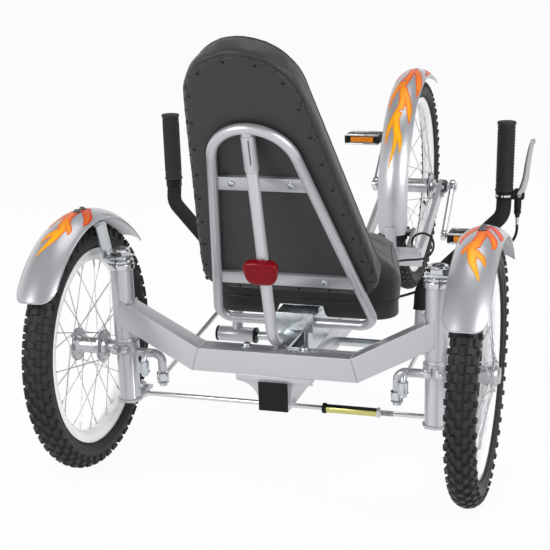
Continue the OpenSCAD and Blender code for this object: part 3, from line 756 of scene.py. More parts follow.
FLAMES = flame_paint()
TREAD, LACING, FASTENERS = tread_tree(), lacing_tree(), fastener_tree()
BEADS, RIBS = bead_tree(), rib_tree()


# ---- wheels ----

# sizes in millimetres; outside is the side of the dust cap, or 0 for none
Wheel = namedtuple("Wheel", "prefix centre tyre_r rim_r half flange barrel bore knobs outside")


def make_tyre(wheel):
    section, knob = 24.5, 4.8
    carcass, crown = section - knob, wheel.tyre_r - section
    bead, seat = asin(10 / carcass), wheel.rim_r - 7
    profile = []
    for i in range(33):
        angle = -pi + bead + i * (2 * pi - 2 * bead) / 32
        squash = 1 + 0.06 * abs(sin(angle))
        profile.append((carcass * sin(angle) * squash, crown + carcass * cos(angle)))
    profile += [(9.5, seat), (-9.5, seat)]
    name = wheel.prefix + "_tyre_shell"
    parts = [turned(name, wheel.centre, profile, TYRE, sides=120, closed=True, crease=60)]
    # raised lines round each sidewall
    for side in (-1, 1):
        for turn, thick in ((108, 0.7), (128, 0.9), (137, 0.6)):
            x = side * 1.06 * carcass * sin(radians(turn))
            y = crown + carcass * cos(radians(turn))
            section_points = [(x + thick * cos(a), y + thick * sin(a)) for a in full_turn(6)]
            parts.append(turned("line", wheel.centre, section_points, TYRE, sides=96, closed=True))
    parts.append(grown("knobs", TREAD, TYRE, centre=wheel.centre, crease=20, tyre_radius=wheel.tyre_r * MM,
                       section_radius=section * MM, height=(knob + 1.2) * MM, count=wheel.knobs))
    fit(joined(name, *parts), wheel.prefix + "_wheel", "tyre_rubber", wheel.prefix + "_tyre")


def make_rim(wheel):
    half, r, body = 13.5, wheel.rim_r, wheel.prefix + "_wheel"
    side = [(half, r - 12), (half, r - 1.2), (half - 0.8, r), (half - 1.8, r - 0.6), (half - 2.2, r - 5),
            (7, r - 10), (2, r - 11.5)]
    inner = [(-7, r - 19), (-4, r - 20), (4, r - 20), (7, r - 19)]
    profile = inner + side + [(-x, y) for x, y in reversed(side)]
    rim = turned(wheel.prefix + "_rim_hoop", wheel.centre, profile, WHITE, sides=120, closed=True, crease=50)
    fit(rim, body, "white_rim", wheel.prefix + "_rim")
    stem = [(-3, 3.2), (3, 3.2), (9, 2.8), (22, 2.6), (22.4, 3.4), (30, 3.4), (31, 2.4)]
    foot = wheel.centre - Vector((0, 0, (r - 20) * MM))
    valve = turned(wheel.prefix + "_valve", foot, stem, PLASTIC, axis=UP, sides=16)
    valve.data.transform(Matrix.Translation(wheel.centre) @ Matrix.Rotation(radians(64), 4, "X")
                         @ Matrix.Translation(-wheel.centre))
    fit(valve, body, "black_plastic")


def make_lacing(wheel):
    spokes = grown(wheel.prefix + "_spoke_wires", LACING, STEEL, centre=wheel.centre, crease=60,
                   flange_radius=(wheel.flange - 4) * MM, flange_offset=(wheel.half - 10) * MM,
                   rim_radius=(wheel.rim_r - 19.5) * MM, wire_radius=0.9 * MM, crossing=radians(62), count=28)
    fit(spokes, wheel.prefix + "_wheel", "steel_wire", wheel.prefix + "_spokes")


def make_hub(wheel):
    half, flange, barrel, bore = wheel.half, wheel.flange, wheel.barrel, wheel.bore
    out = half - 10
    side = [(barrel * 0.1, barrel - 1), (out - 9, barrel - 0.5), (out - 3.5, barrel + 3),
            (out - 2.2, flange - 2), (out - 1.4, flange), (out + 1.4, flange), (out + 2.2, flange - 2),
            (out + 2.6, barrel + 2.5), (half - 4, barrel + 0.5), (half - 2.5, barrel - 1.5),
            (half, barrel - 2), (half, bore)]
    profile = [(-x, y) for x, y in reversed(side)] + side
    name = wheel.prefix + "_hub_shell"
    parts = [turned(name, wheel.centre, profile, ALLOY, sides=64, closed=True, crease=28)]
    if wheel.outside:
        seat, reach = wheel.outside * (half - 6.8), wheel.outside * 6
        cap = [(seat - 3 * reach, bore + 0.6), (seat - 3 * reach, 12.5), (seat, 12.5), (seat + 0.6 * reach, 11),
               (seat + reach, 7), (seat + 1.1 * reach, 0)]
        parts.append(turned("cap", wheel.centre, cap, PLASTIC, sides=40))
    fit(joined(name, *parts), wheel.prefix + "_wheel", "chrome_plate", wheel.prefix + "_hub")


def make_wheels():
    for wheel in (Wheel("left", left_hub, 202, 160, 33, 27, 14, 7.6, 50, -1),
                  Wheel("right", rear_hub, 202, 160, 33, 27, 14, 7.6, 50, 1),
                  Wheel("front", front_hub, 254, 211, 52, 34, 18, 8.6, 64, 0)):
        make_tyre(wheel)
        make_rim(wheel)
        make_lacing(wheel)
        make_hub(wheel)
    section = hoop_profile(19, 32, 36.8, 3, radial=2)
    disc = turned("front_disc", front_hub, section, PLASTIC, sides=64, closed=True)
    fit(disc, "front_wheel", "black_plastic")


# ---- fenders ----

class Fender:
    """Curved shell over a wheel: radius and half width at its section, and its two end angles."""

    def __init__(self, name, centre, radius, width, rise, low, high, body):
        self.name, self.centre, self.radius, self.body = name, centre, radius, body
        self.width, self.low, self.high = width, low, high
        self.bow = (width ** 2 + rise ** 2) / (2 * rise)
        self.spread = asin(width / self.bow)

    def at(self, angle, across, lift=0.0):
        """Point at an angle in degrees from forwards, -1 to 1 across, and lifted by millimetres."""
        lean, turn = self.spread * across, radians(angle)
        sideways = (self.bow + lift) * sin(lean)
        out = self.radius + (self.bow + lift) * cos(lean) - self.bow
        return self.centre + Vector((sideways, out * cos(turn), out * sin(turn))) * MM

    def ends(self, across):
        """The shell's two end angles, drawn in towards its edges."""
        return self.low + 1.2 * abs(across) ** 3, self.high - 7.0 * abs(across) ** 4


def make_shell(fender):
    thick, columns, rows = 1.6, 24, 72
    steps = [2 * column / columns - 1 for column in range(columns + 1)]
    rings = []
    for row in range(rows + 1):
        ring = []
        for lift, inset, order in ((0.0, 1, steps), (-thick, 0.97, steps[::-1])):
            for across in order:
                low, high = fender.ends(across)
                ring.append(fender.at(low + (high - low) * row / rows, across * inset, lift))
        rings.append(ring)
    shell = loft(fender.name + "_shell", rings, FENDER, crease=50)
    low, high = fender.ends(1)
    rims = []
    for side in (-1, 1):
        edge = [fender.at(low + (high - low) * i / 60, side * 0.985, -thick / 2) for i in range(61)]
        rims.append(tube("rim", edge, 1.3, FENDER, sides=8))
    lining = [fender.at(fender.ends(a)[1] - 0.1, a, -thick / 2) for a in [i / 12 - 0.98 for i in range(24)]]
    rims.append(tube("rim", lining, 1.2, FENDER, sides=8))
    fit(joined(fender.name + "_shell", shell, *rims), fender.body, "fender_paint", fender.name)


# each tongue of flame: points (share of the run from its tip, -1 to 1 across), widest half width in mm
REAR_TONGUES = (
    (((0.0, -0.42), (0.12, -0.20), (0.24, 0.02), (0.38, 0.10), (0.52, 0.04), (0.68, -0.06), (0.86, 0.0),
      (1.02, 0.05)), 8.5),
    (((0.20, -0.52), (0.30, -0.30), (0.38, 0.0), (0.52, 0.10)), 6.5),
    (((0.34, 0.52), (0.42, 0.44), (0.50, 0.22), (0.58, 0.05)), 5.5),
    (((0.46, -0.60), (0.54, -0.66), (0.66, -0.52), (0.78, -0.20), (0.92, 0.0)), 7.0),
    (((0.56, 0.78), (0.68, 0.74), (0.80, 0.50), (0.92, 0.18), (1.02, 0.0)), 8.5),
    (((0.70, -0.86), (0.80, -0.78), (0.92, -0.46), (1.02, -0.10)), 7.5),
)
FRONT_TONGUES = (
    (((0.0, -0.30), (0.08, -0.16), (0.18, 0.02), (0.28, -0.10), (0.40, 0.06), (0.52, -0.14), (0.66, 0.02),
      (0.82, -0.10), (1.0, 0.0)), 8.5),
    (((0.10, 0.34), (0.17, 0.28), (0.24, 0.06), (0.30, -0.06)), 6.0),
    (((0.14, -0.58), (0.22, -0.54), (0.30, -0.30), (0.37, 0.0)), 6.5),
    (((0.26, 0.66), (0.34, 0.58), (0.42, 0.34), (0.50, 0.0)), 7.5),
    (((0.34, -0.74), (0.44, -0.70), (0.53, -0.44), (0.62, -0.08)), 7.5),
    (((0.44, 0.82), (0.55, 0.76), (0.66, 0.50), (0.76, 0.10)), 9.0),
    (((0.58, -0.86), (0.69, -0.80), (0.80, -0.50), (0.90, -0.10)), 8.5),
    (((0.70, 0.86), (0.82, 0.78), (0.92, 0.46), (1.0, 0.1)), 8.5),
)
# bare spots inside the flames: share of the run, -1 to 1 across, radius in mm
REAR_HOLES = ((0.42, -0.10, 2.6), (0.66, 0.28, 3.4), (0.84, -0.30, 3.0))
FRONT_HOLES = ((0.34, 0.12, 3.2), (0.58, -0.22, 3.4), (0.76, 0.24, 3.6))


def tongue_discs(tongues, length, half):
    """Discs (along, across, radius in millimetres) whose union is the flame."""
    discs = []
    for route, width in tongues:
        points = [Vector((share * length, across * half, 0)) for share, across in route]
        path = smooth_route(points, 10)
        for i, spot in enumerate(path):
            t = i / (len(path) - 1)
            discs.append((spot.x, spot.y, width * min(1, 2.2 * t) ** 0.9 * (1 - 0.25 * t)))
    return discs


def paint_flames(fender, tip, root, tongues, holes, mirror=1):
    """Generic flames laid on a fender between two angles, as one thin film cut along its outline."""
    length, half, step = abs(radians(tip - root)) * fender.radius, fender.width, 1.5
    discs = tongue_discs(tongues, length, half)
    columns, rows = int(length * 1.02 / step), int(1.88 * half / step)

    def depth_at(i, j):
        """Grid point, and how far it lies inside the flame."""
        x, y = i * step - 1.0, (j - rows / 2) * step
        inside = max(r - ((x - cx) ** 2 + (y - cy) ** 2) ** 0.5 for cx, cy, r in discs)
        gaps = [((x - share * length) ** 2 + (y - across * half) ** 2) ** 0.5 - r
                for share, across, r in holes]
        return x, y, min(inside, *gaps)

    grid = [[depth_at(i, j) for j in range(rows + 1)] for i in range(columns + 1)]
    points, heats, known, faces = [], [], {}, []

    def corner(key, x, y, inside):
        if key not in known:
            known[key] = len(points)
            points.append(fender.at(tip + (root - tip) * x / length, mirror * y / half, 0.3))
            heats.append(0.95 * x / length + 0.35 * (1 - min(1, inside / 4)) - 0.12)
        return known[key]

    for i in range(columns):
        for j in range(rows):
            round_cell = [(i, j), (i + 1, j), (i + 1, j + 1), (i, j + 1)]
            outline = []
            for a, b in zip(round_cell, round_cell[1:] + round_cell[:1]):
                (ax, ay, av), (bx, by, bv) = grid[a[0]][a[1]], grid[b[0]][b[1]]
                if av > 0:
                    outline.append(corner(a, ax, ay, av))
                if (av > 0) != (bv > 0):
                    t = av / (av - bv)
                    x, y = ax + (bx - ax) * t, ay + (by - ay) * t
                    outline.append(corner((min(a, b), max(a, b)), x, y, 0))
            if len(outline) > 2:
                faces.append(outline)
    flames = piece(fender.name + "_flames", points, faces, FLAMES, 180)
    heat = flames.data.attributes.new("warmth", "FLOAT", "POINT")
    heat.data.foreach_set("value", heats)
    middle = flames.data.polygons[len(faces) // 2]
    if middle.normal.dot(middle.center - fender.centre) < 0:
        flames.data.flip_normals()
    film = flames.modifiers.new("film", "SOLIDIFY")
    film.thickness, film.offset = 0.25 * MM, -1
    fit(baked(flames), fender.body, "fender_paint")


def make_fenders():
    for name, centre, body, mirror in (("left_fender", left_hub, "left_steer", 1),
                                       ("right_fender", rear_hub, "right_steer", -1)):
        fender = Fender(name, centre, 223, 32.4, 14, 41, 146, body)
        make_shell(fender)
        paint_flames(fender, 127, 84, REAR_TONGUES, REAR_HOLES, mirror)
        heads = [fender.at(90 + turn, 0) for turn in (-2.4, 2.4)]
        axes = [fender.at(90 + turn, 0, 1000) - fender.at(90 + turn, 0) for turn in (-2.4, 2.4)]
        bolts_on(name + "_bolts", body, heads, axes, 5, 4, 0.75, DARK_STEEL, sides=24, washer=1.3, plate=0.8)
    front = Fender("front_fender", front_hub, 278, 34, 16, 62, 196, "front_end")
    make_shell(front)
    paint_flames(front, 165, 70, FRONT_TONGUES, FRONT_HOLES)
    flap = []
    for row in range(9):
        ring = []
        for lift, order in ((0.9, range(17)), (-2.4, range(16, -1, -1))):
            ring += [front.at(193.4 + row * 0.32, 0.955 * (column / 8 - 1), lift) for column in order]
        flap.append(ring)
    fit(loft("front_fender_flap", flap, PLASTIC, crease=50), "front_end", "black_plastic")


# ---- frame ----

def bolts_on(name, body, places, axis, radius, height, dome, material=None, sides=6, washer=1.35, plate=0.9,
             slot="chrome_plate"):
    """Heads at places, facing along one axis or one each; galvanised unless a material is given."""
    axes = axis if isinstance(axis, list) else [axis] * len(places)
    heads = grown(name, FASTENERS, material or ZINC, spots(places, axes), head_radius=radius * MM,
                  head_height=height * MM, dome=dome, sides=sides, washer_radius=radius * washer * MM,
                  washer_height=plate * MM)
    return fit(heads, body, slot if material else "zinc_plate")


def weld(name, body, points, radius, closed=False):
    path = line(points, closed)
    beads = grown(name, BEADS, SILVER, path, pitch=1.9 * MM, radius=radius * MM, length=0.7, crease=80)
    return fit(beads, body, "silver_paint")


def make_frame():
    for node, material, slot, width, segments in (
            ("crossbeam", SILVER, "silver_paint", 3.2, 3), ("beam_plate", SILVER, "silver_paint", 0.8, 2),
            ("main_beam", SILVER, "silver_paint", 1.2, 2), ("beam_cap", PLASTIC, "black_plastic", 2.6, 3),
            ("headset_cups", CHROME, "chrome_plate", 1.6, 3), ("seat_bracket", ZINC, "zinc_plate", 0.8, 2),
            ("lever_shaft", ZINC, "chrome_plate", 1, 2)):
        softened(node, material, slot, width, segments)
    # vertical weld seams where the arms meet the level stretch, and rings round the head tubes
    for side, name in ((-1, "left"), (1, "right")):
        for label, radius, points in (
                ("crossbeam_seam_", 1.1,
                 [(124 + 11 * t, -19.4, 217 - 38 * t) for t in (0.04, 0.35, 0.65, 0.96)]),
                ("crossbeam_top_seam_", 1.1, [(124, y, 217.3) for y in (-17, -6, 6, 17)]),
                ("head_seam_", 1.7, [(238, -14.5, 279), (236, -16.5, 262), (237, -15.5, 244), (241, -12, 232)]),
                ("head_top_seam_", 1.7, [(237, y, 281 + 0.1 * abs(y)) for y in (-14, -7, 0, 7, 14)])):
            weld(label + name, "frame", [at(side * x, y, z) for x, y, z in points], radius)
    over, under = ([at(x, 9, z) for x in (-51, 44)] for z in (217, 170))
    bolts_on("crossbeam_bolts", "frame", over, UP, 7, 6, 0.85, sides=24, washer=1.3)
    bolts_on("crossbeam_nuts", "frame", under, (0, 0, -1), 7.5, 6.5, 0.2, washer=1.5)
    bolts_on("beam_clamp_bolts", "frame", [at(24.2, 548, 146), at(24.2, 520, 146)], (1, 0, 0), 6, 6, 0.3)
    under = [at(x, y, 246) for x in (-76, 76) for y in (165, 290)]
    bolts_on("bracket_bolts", "frame", under, (0, 0, -1), 5.5, 5, 0.3)


# ---- seat ----

SEAT_LEAN = radians(33)
HOOP_HEIGHT = 416
crown = at(0, 118 - HOOP_HEIGHT * sin(SEAT_LEAN) + 3, 227 + HOOP_HEIGHT * cos(SEAT_LEAN))
on_back = Matrix.Translation(at(0, 118, 227)) @ Matrix.Rotation(SEAT_LEAN, 4, "X")
lean_turn = on_back.to_3x3()
BEHIND = lean_turn @ Vector((0, -1, 0))
BACK_DISCS = ((0, 446, 87), (-111, 97, 35), (111, 97, 35))
CUSHION_DISCS = ((-121, 180, 40), (121, 180, 40), (-73, 340, 50), (73, 340, 50))


def hull_outline(discs, count=160):
    """Evenly spaced (point, outward normal) pairs round discs (x, y, radius in millimetres)."""
    raw = []
    for angle in full_turn(1440):
        facing = Vector((cos(angle), sin(angle)))
        x, y, r = max(discs, key=lambda d: d[0] * facing.x + d[1] * facing.y + d[2])
        raw.append(Vector((x, y)) + facing * r)
    lengths = [0.0]
    for a, b in zip(raw, raw[1:] + raw[:1]):
        lengths.append(lengths[-1] + (b - a).length)
    raw.append(raw[0])
    even, i = [], 0
    for k in range(count):
        goal = lengths[-1] * k / count
        while lengths[i + 1] < goal:
            i += 1
        share = (goal - lengths[i]) / max(lengths[i + 1] - lengths[i], 1e-9)
        even.append(raw[i].lerp(raw[i + 1], share))
    pairs = []
    for k, point in enumerate(even):
        along = even[(k + 1) % count] - even[k - 1]
        pairs.append((point, Vector((along.y, -along.x)).normalized()))
    return pairs


def pad_mesh(name, discs, profile, to_frame):
    """Closed pad: profile holds (inset, height) from the first face round to the other, in millimetres."""
    pairs = hull_outline(discs)
    middle = sum((p for p, n in pairs), Vector((0, 0))) / len(pairs)
    caps = (0.72, 0.42, 0.12)

    def ring(inset, height, share=1.0):
        inner = [middle.lerp(p - n * inset, share) for p, n in pairs]
        return [to_frame(p.x, p.y, height) for p in inner]

    rings = [ring(*profile[0], share) for share in reversed(caps)]
    rings += [ring(*item) for item in profile]
    rings += [ring(*profile[-1], share) for share in caps]
    return loft(name, rings, VINYL, crease=180)


def inflate(pad, held, cap):
    """Blows the fabric up, by cap millimetres at most; points where held() is true stay."""
    remesh = pad.modifiers.new("skin", "REMESH")
    remesh.mode, remesh.voxel_size = "VOXEL", 5.5 * MM
    baked(pad)
    start = [v.co.copy() for v in pad.data.vertices]
    pins = pad.vertex_groups.new(name="held")
    pins.add([v.index for v in pad.data.vertices if held(v.co)], 1.0, "REPLACE")
    fabric = pad.modifiers.new("fabric", "CLOTH").settings
    fabric.use_pressure, fabric.uniform_pressure_force = True, 4
    fabric.mass, fabric.bending_stiffness = 0.3, 2.5
    fabric.tension_stiffness = fabric.compression_stiffness = 20
    fabric.vertex_group_mass = "held"
    fabric.effector_weights.gravity = 0
    for step in range(1, 21):
        scene.frame_set(step)
    baked(pad)
    for vert, rest in zip(pad.data.vertices, start):
        moved = vert.co - rest
        if moved.length > cap * MM:
            vert.co = rest + moved * (cap * MM / moved.length)
    scene.frame_set(1)
    pad.vertex_groups.clear()
    smooth = pad.modifiers.new("even", "SMOOTH")
    smooth.factor, smooth.iterations = 0.5, 6
    finer = pad.modifiers.new("finer", "SUBSURF")
    finer.levels = finer.render_levels = 1
    baked(pad)
    pad.data.shade_smooth()
    return pad


def back_point(x, up, depth):
    return on_back @ Vector((x * MM, depth * MM, up * MM))


def piping(name, pad, discs, inset, height, place, radius):
    """Cord round a pad, laid on its surface."""
    skin = BVHTree.FromObject(pad, bpy.context.evaluated_depsgraph_get())
    laid = []
    for p, n in hull_outline(discs):
        spot, normal, _, _ = skin.find_nearest(place(*(p - n * inset), height))
        laid.append(spot + normal * 0.3 * MM)
    fit(tube(name, laid, radius, VINYL, sides=8, closed=True), "frame", "black_vinyl")


def make_seat_back():
    profile = ((30, 14.5), (18, 14.5), (8, 14), (4, 13.2), (1.2, 12.8), (-1.4, 15), (-3.4, 19.5), (-4.2, 27),
               (-4.2, 40), (-2.5, 49), (3, 56), (10, 59.6), (19, 61), (30, 61))
    pad = pad_mesh("seat_back_pad", BACK_DISCS, profile, back_point)
    to_back = on_back.inverted()
    inflate(pad, lambda point: (to_back @ point).y < 17 * MM, 4.5)
    fit(pad, "frame", "black_vinyl", "seat_back")
    piping("seat_back_piping", pad, BACK_DISCS, 2, 52, back_point, 1.5)
    rim = ((28, 9.1), (6.8, 9.1), (4.8, 9.7), (3.8, 11), (3.6, 15))
    fit(pad_mesh("seat_back_board", BACK_DISCS, rim, back_point), "frame", "black_vinyl")
    tacks = [back_point(*(p - n * 10), 9.1) for p, n in hull_outline(BACK_DISCS, 26)]
    bolts_on("seat_back_tacks", "frame", tacks, BEHIND, 2.0, 1.1, 0.8, PLASTIC, sides=16, washer=1.1, plate=0.3,
             slot="black_plastic")
    # short tucks where the vinyl is pulled over the board
    tucks = []
    for i, (p, n) in enumerate(hull_outline(BACK_DISCS, 62)):
        along = Vector((-n.y, n.x)) * (3.2 + 1.6 * sin(2.7 * i))
        inner = p - n * (3.4 - 0.8 * sin(1.9 * i))
        route = [back_point(*(inner + along * end), 10.0 + 0.6 * abs(end)) for end in (-1, 0, 1)]
        tucks.append(tube("tuck", smooth_route(route, 3), lambda t: 0.6 + sin(pi * t), VINYL, sides=6))
    fit(joined("seat_back_tucks", *tucks), "frame", "black_vinyl")


def make_cushion():
    profile = ((26, 250.6), (12, 250.6), (5, 252), (1.5, 257), (0, 270), (0, 284), (1, 296), (4.5, 306),
               (11, 314.5), (22, 321), (38, 325))
    pad = pad_mesh("seat_cushion_pad", CUSHION_DISCS, profile, at)
    inflate(pad, lambda point: point.z < 254 * MM, 6)
    fit(pad, "frame", "black_vinyl", "seat_cushion")
    for label, inset, height in (("low", 1, 258), ("top", 6, 309)):
        piping("seat_cushion_piping_" + label, pad, CUSHION_DISCS, inset, height, at, 1.7)
    make_skirt()


def make_skirt():
    """Dark band under the cushion, open at the back where the clamp block comes through."""
    rings = []
    for p, n in hull_outline(CUSHION_DISCS, 240):
        open_half, ease = 38, 6
        drop = min(max((abs(p.x) - open_half) / ease, 0.0), 1.0) if p.y < 200 else 1.0
        low = 247.5 - 18.5 * drop * drop * (3 - 2 * drop)
        section = [(3, 256), (2.5, low + 3), (4.5, low + 0.8), (7.5, low), (11, low + 0.8), (13, low + 3),
                   (13, 256)]
        rings.append([at(*(p - n * inset), height) for inset, height in section])
    fit(loft("seat_skirt", rings, VINYL, closed=True, crease=50), "frame", "black_vinyl")


def make_seat_frame():
    softened("seat_hoop", SILVER, "silver_paint", 0.8)
    softened("seat_strut", SILVER, "silver_paint", 0.6)
    heads = [back_point(*place, 4) for place in ((-47, 306), (44, 306), (62, 97))]
    bolts_on("strap_screws", "frame", heads, BEHIND, 5.6, 3, 0.8, sides=24, washer=1.1)
    # painted shade: dark steel bars in a cross on each screw head stand for the shade in its cross recess
    slot_shades = []
    for head in heads:
        for turn in (20, 110):
            middle = head + BEHIND * 3.6 * MM
            arm = lean_turn @ (Vector((cos(radians(turn)), 0, sin(radians(turn)))) * 3.4 * MM)
            slot_shades.append(tube("cross", [middle - arm, middle + arm], 0.75, DARK_STEEL, sides=6))
    fit(joined("strap_screw_slot_shades", *slot_shades), "frame", "zinc_plate")
    # slit sleeve at the brace's top; its slit is a dark steel strip laid on the sleeve, painted shade in the gap
    down = Vector((0, sin(radians(15)), -cos(radians(15))))
    section = [(9, 8.4), (10, 10.6), (62, 10.6), (64, 9.9), (66, 8.4)]
    sleeve = turned("strut_sleeve", crown, section, SILVER, down)
    route = [crown + down * d * MM + Vector((3.2, -10.0, -2.6)) * MM for d in (14, 30, 50)]
    slit_shade = tube("slit_shade", route, 1.0, DARK_STEEL, sides=8)
    fit(joined("strut_sleeve", sleeve, slit_shade), "frame", "silver_paint")
    for side, name in ((-1, "left"), (1, "right")):
        seam = [crown + down * 8 * MM + Vector((side * 9 * cos(a), -9 * sin(a), 0)) * MM
                for a in (0.1, 0.8, 1.5)]
        weld("strut_weld_" + name, "frame", seam, 1.3)


def make_reflector():
    """Red lens in a rounded body, clipped to the brace."""
    place = Matrix.Translation(crown) @ Matrix.Rotation(pi + radians(15), 4, "X") \
        @ Matrix.Translation((0, 0, 221 * MM))
    rings = []
    for depth, grow in ((8.5, -3), (10, 0), (15, 0.6), (19, 0.4), (21.5, -1.2), (23, -4), (23.6, -8)):
        ring = []
        for a in full_turn(64):
            across = abs(cos(a)) ** 0.55 * (1 if cos(a) > 0 else -1) * (25.2 + grow)
            down = abs(sin(a)) ** 0.62 * (1 if sin(a) > 0 else -1) * (19.2 + grow)
            ring.append(place @ (Vector((across * (1 - 0.006 * down), depth, down)) * MM))
        rings.append(ring)
    parts = [loft("rear_reflector_lens", rings, RED_LENS, crease=50)]
    clip = [(0, 9.1), (0, 11), (8, 11), (8, 9.1)]
    for z in (-13, 5):
        parts.append(turned("clip", place @ Vector((0, 0, z * MM)), clip, PLASTIC,
                            place.to_3x3() @ Vector(UP), closed=True))
    fit(joined("rear_reflector_lens", *parts), "frame", "red_lens", "rear_reflector")


# ---- steering ----

def repaint(obj, *choices):
    """Gives faces another material where a test of their centre, in the millimetres of at(), holds."""
    for material, test in choices:
        obj.data.materials.append(material)
        index = len(obj.data.materials) - 1
        for face in obj.data.polygons:
            x, y, z = face.center / MM
            if test(x, y - axle_y / MM, z):
                face.material_index = index


def make_knuckles():
    for side, name in ((-1, "left"), (1, "right")):
        body, x = name + "_steer", 253.5 * side
        knuckle = softened(name + "_knuckle", SILVER, "silver_paint", 1.0)
        repaint(knuckle, (CHROME, lambda x, y, z: z > 335.5),
                (STEEL, lambda x, y, z: abs(x) > 275.5),
                (ZINC, lambda x, y, z: 197 < abs(x) < 222 and y < -22 and z < 196),
                (ZINC, lambda x, y, z: z < 111.5))
        softened(name + "_fender_bracket", ZINC, "zinc_plate", 0.7)
        softened(name + "_link_rod", CHROME, "chrome_plate", 1.2)
        bolts_on(name + "_headset_nut", body, [at(x, 0, 355.6)], UP, 17.6, 10, 0.25, CHROME, washer=1.08)
        bolts_on(name + "_headset_cap", body, [at(x, 0, 364)], UP, 10, 6, 0.6, DARK_STEEL, sides=28)
        section = [(0, 12), (0, 19.5), (1, 20.5), (4, 20.5), (5.5, 18), (7, 16.6), (7, 12)]
        lock = turned(name + "_lock_ring", at(x, 0, 345.4), section, CHROME, UP, closed=True)
        fit(lock, body, "chrome_plate")
        # collar at the knuckle's top with its clamp bolts, and the rim round its foot
        section = hoop_profile(16, 20.5, 0, 20, axial=1, radial=1)
        parts = [turned("collar", at(x, 0, 196), section, SILVER, UP, closed=True)]
        parts += [block("ear", at(x + dx - 5, -30, 199), at(x + dx + 5, -16, 213), 2, SILVER)
                  for dx in (-9, 9)]
        section = [(0, 15), (0, 19.2), (1.6, 20.4), (4, 20), (5, 17), (5, 15)]
        parts.append(turned("rim", at(x, 0, 112.4), section, SILVER, UP, closed=True))
        fit(joined(name + "_knuckle_collar", *parts), body, "silver_paint")
        bolts_on(name + "_collar_bolts", body, [at(x + dx, -30, 206) for dx in (-9, 9)], (0, -1, 0), 4.4, 4, 0.3,
                 CHROME, sides=24, washer=1.25)
        bolts_on(name + "_tie_nut", body, [at(x, 50, 117.2)], UP, 7.2, 7, 0.25)
        bolts_on(name + "_arm_nut", body, [at(x - 60 * side, 0, 148)], (0, 0, -1), 7, 6, 0.25)
        bolts_on(name + "_hook_nut", body, [at(x - 44 * side, -35.5, 177)], (0, 0.1, -1), 6.2, 8, 0.35,
                 washer=1.4)
        seam = [at(x + side * 15.4, 11.2 * cos(a), 202 + 11.2 * sin(a)) for a in full_turn(12)]
        weld(name + "_axle_weld", body, seam, 1.4, closed=True)
    rod = softened("tie_rod", CHROME, "chrome_plate", 0.8)
    repaint(rod, (OLIVE, lambda x, y, z: 66 < x < 154 and z < 109),
            (PLASTIC, lambda x, y, z: 66 < x < 154 and z >= 109))
    parts = []
    for x, width, r, material in ((61, 6, 8.6, PLASTIC), (151, 5, 8.2, STEEL)):
        section = [(0, 5), (0, r - 0.6), (0.6, r), (width, r), (width, 5)]
        parts.append(turned("ring", at(x, 50, 105), section, material, closed=True))
    thread = [(0, 3.8), (0.8, 5), (1.6, 3.8)]
    parts += [turned("thread", at(x, 50, 105), thread, DARK_STEEL, sides=24) for x in range(158, 178, 2)]
    fit(joined("tie_rod_turnbuckle", *parts), "tie_rod", "black_plastic")


def grip_place(side):
    return at(side * 305.95, 368.56, 392.83)


def make_levers():
    post = Vector((0, sin(radians(14)), cos(radians(14))))
    for side, name in ((-1, "left"), (1, "right")):
        body = name + "_lever"
        pivot = Vector((side * shaft.x, shaft.y, shaft.z))

        def below_foam(x, y, z):
            return (at(x, y, z) - pivot).dot(post) < 68.5 * MM

        arm = softened(name + "_lever", FOAM, "foam_sleeve", 0.6)
        repaint(arm, (SILVER, below_foam), (PLASTIC, lambda x, y, z: z > 393.5))
        parts = []
        for x, width, r in ((34.2, 5, 14.8), (-38.5, 4, 14.2)):
            section = [(-side * start, r) for start, r in hoop_profile(8.2, r, x, width)]
            parts.append(turned("bush", pivot, section, PLASTIC, closed=True))
        cuff = [(66, 10), (66.4, 13), (68, 13.7), (71, 13.7), (72, 13)]
        parts.append(turned("cuff", pivot, cuff, FOAM, post))
        fit(joined(name + "_lever_bushes", *parts), body, "black_plastic")
        bolts_on(name + "_link_bolt", name + "_link", [at(side * 204, 318.46, 187)], (side, 0, 0), 6.5, 5, 0.3)
        make_grip(name, side)
    make_brake_lever()


def make_grip(name, side):
    foot = grip_place(side)
    low = foot + Vector((0, 0, 14 * MM))
    profile = [(0, 11.2), (0, 15.4), (0.6, 16), (4.2, 16), (5.2, 14.6)]
    for start, after in ((7, [(14, 14.2), (106, 14.2)]), (107, [])):
        for h in (start, start + 3):
            profile += [(h, 14.4), (h + 0.6, 15.3), (h + 1.8, 15.3), (h + 2.4, 14.4)]
        profile += after
    profile += [(114, 14.4), (114.6, 16.2), (118, 16.2), (119.4, 15), (120, 12), (120, 0)]
    sleeve = turned("sleeve", low, profile, RUBBER, UP, sides=56)
    ribs = grown("ribs", RIBS, RUBBER, centre=low + Vector((0, 0, 16.5 * MM)), radius=14.4 * MM, rows=18,
                 pitch=5.1 * MM, count=18)
    fit(joined(name + "_grip_sleeve", sleeve, ribs), name + "_lever", "black_rubber", name + "_grip")
    if side < 0:
        section = hoop_profile(11, 14.4, 0.5, 12.8)
        band = turned(name + "_clamp_band", foot, section, PLASTIC, UP, closed=True)
        fit(band, name + "_lever", "black_plastic")


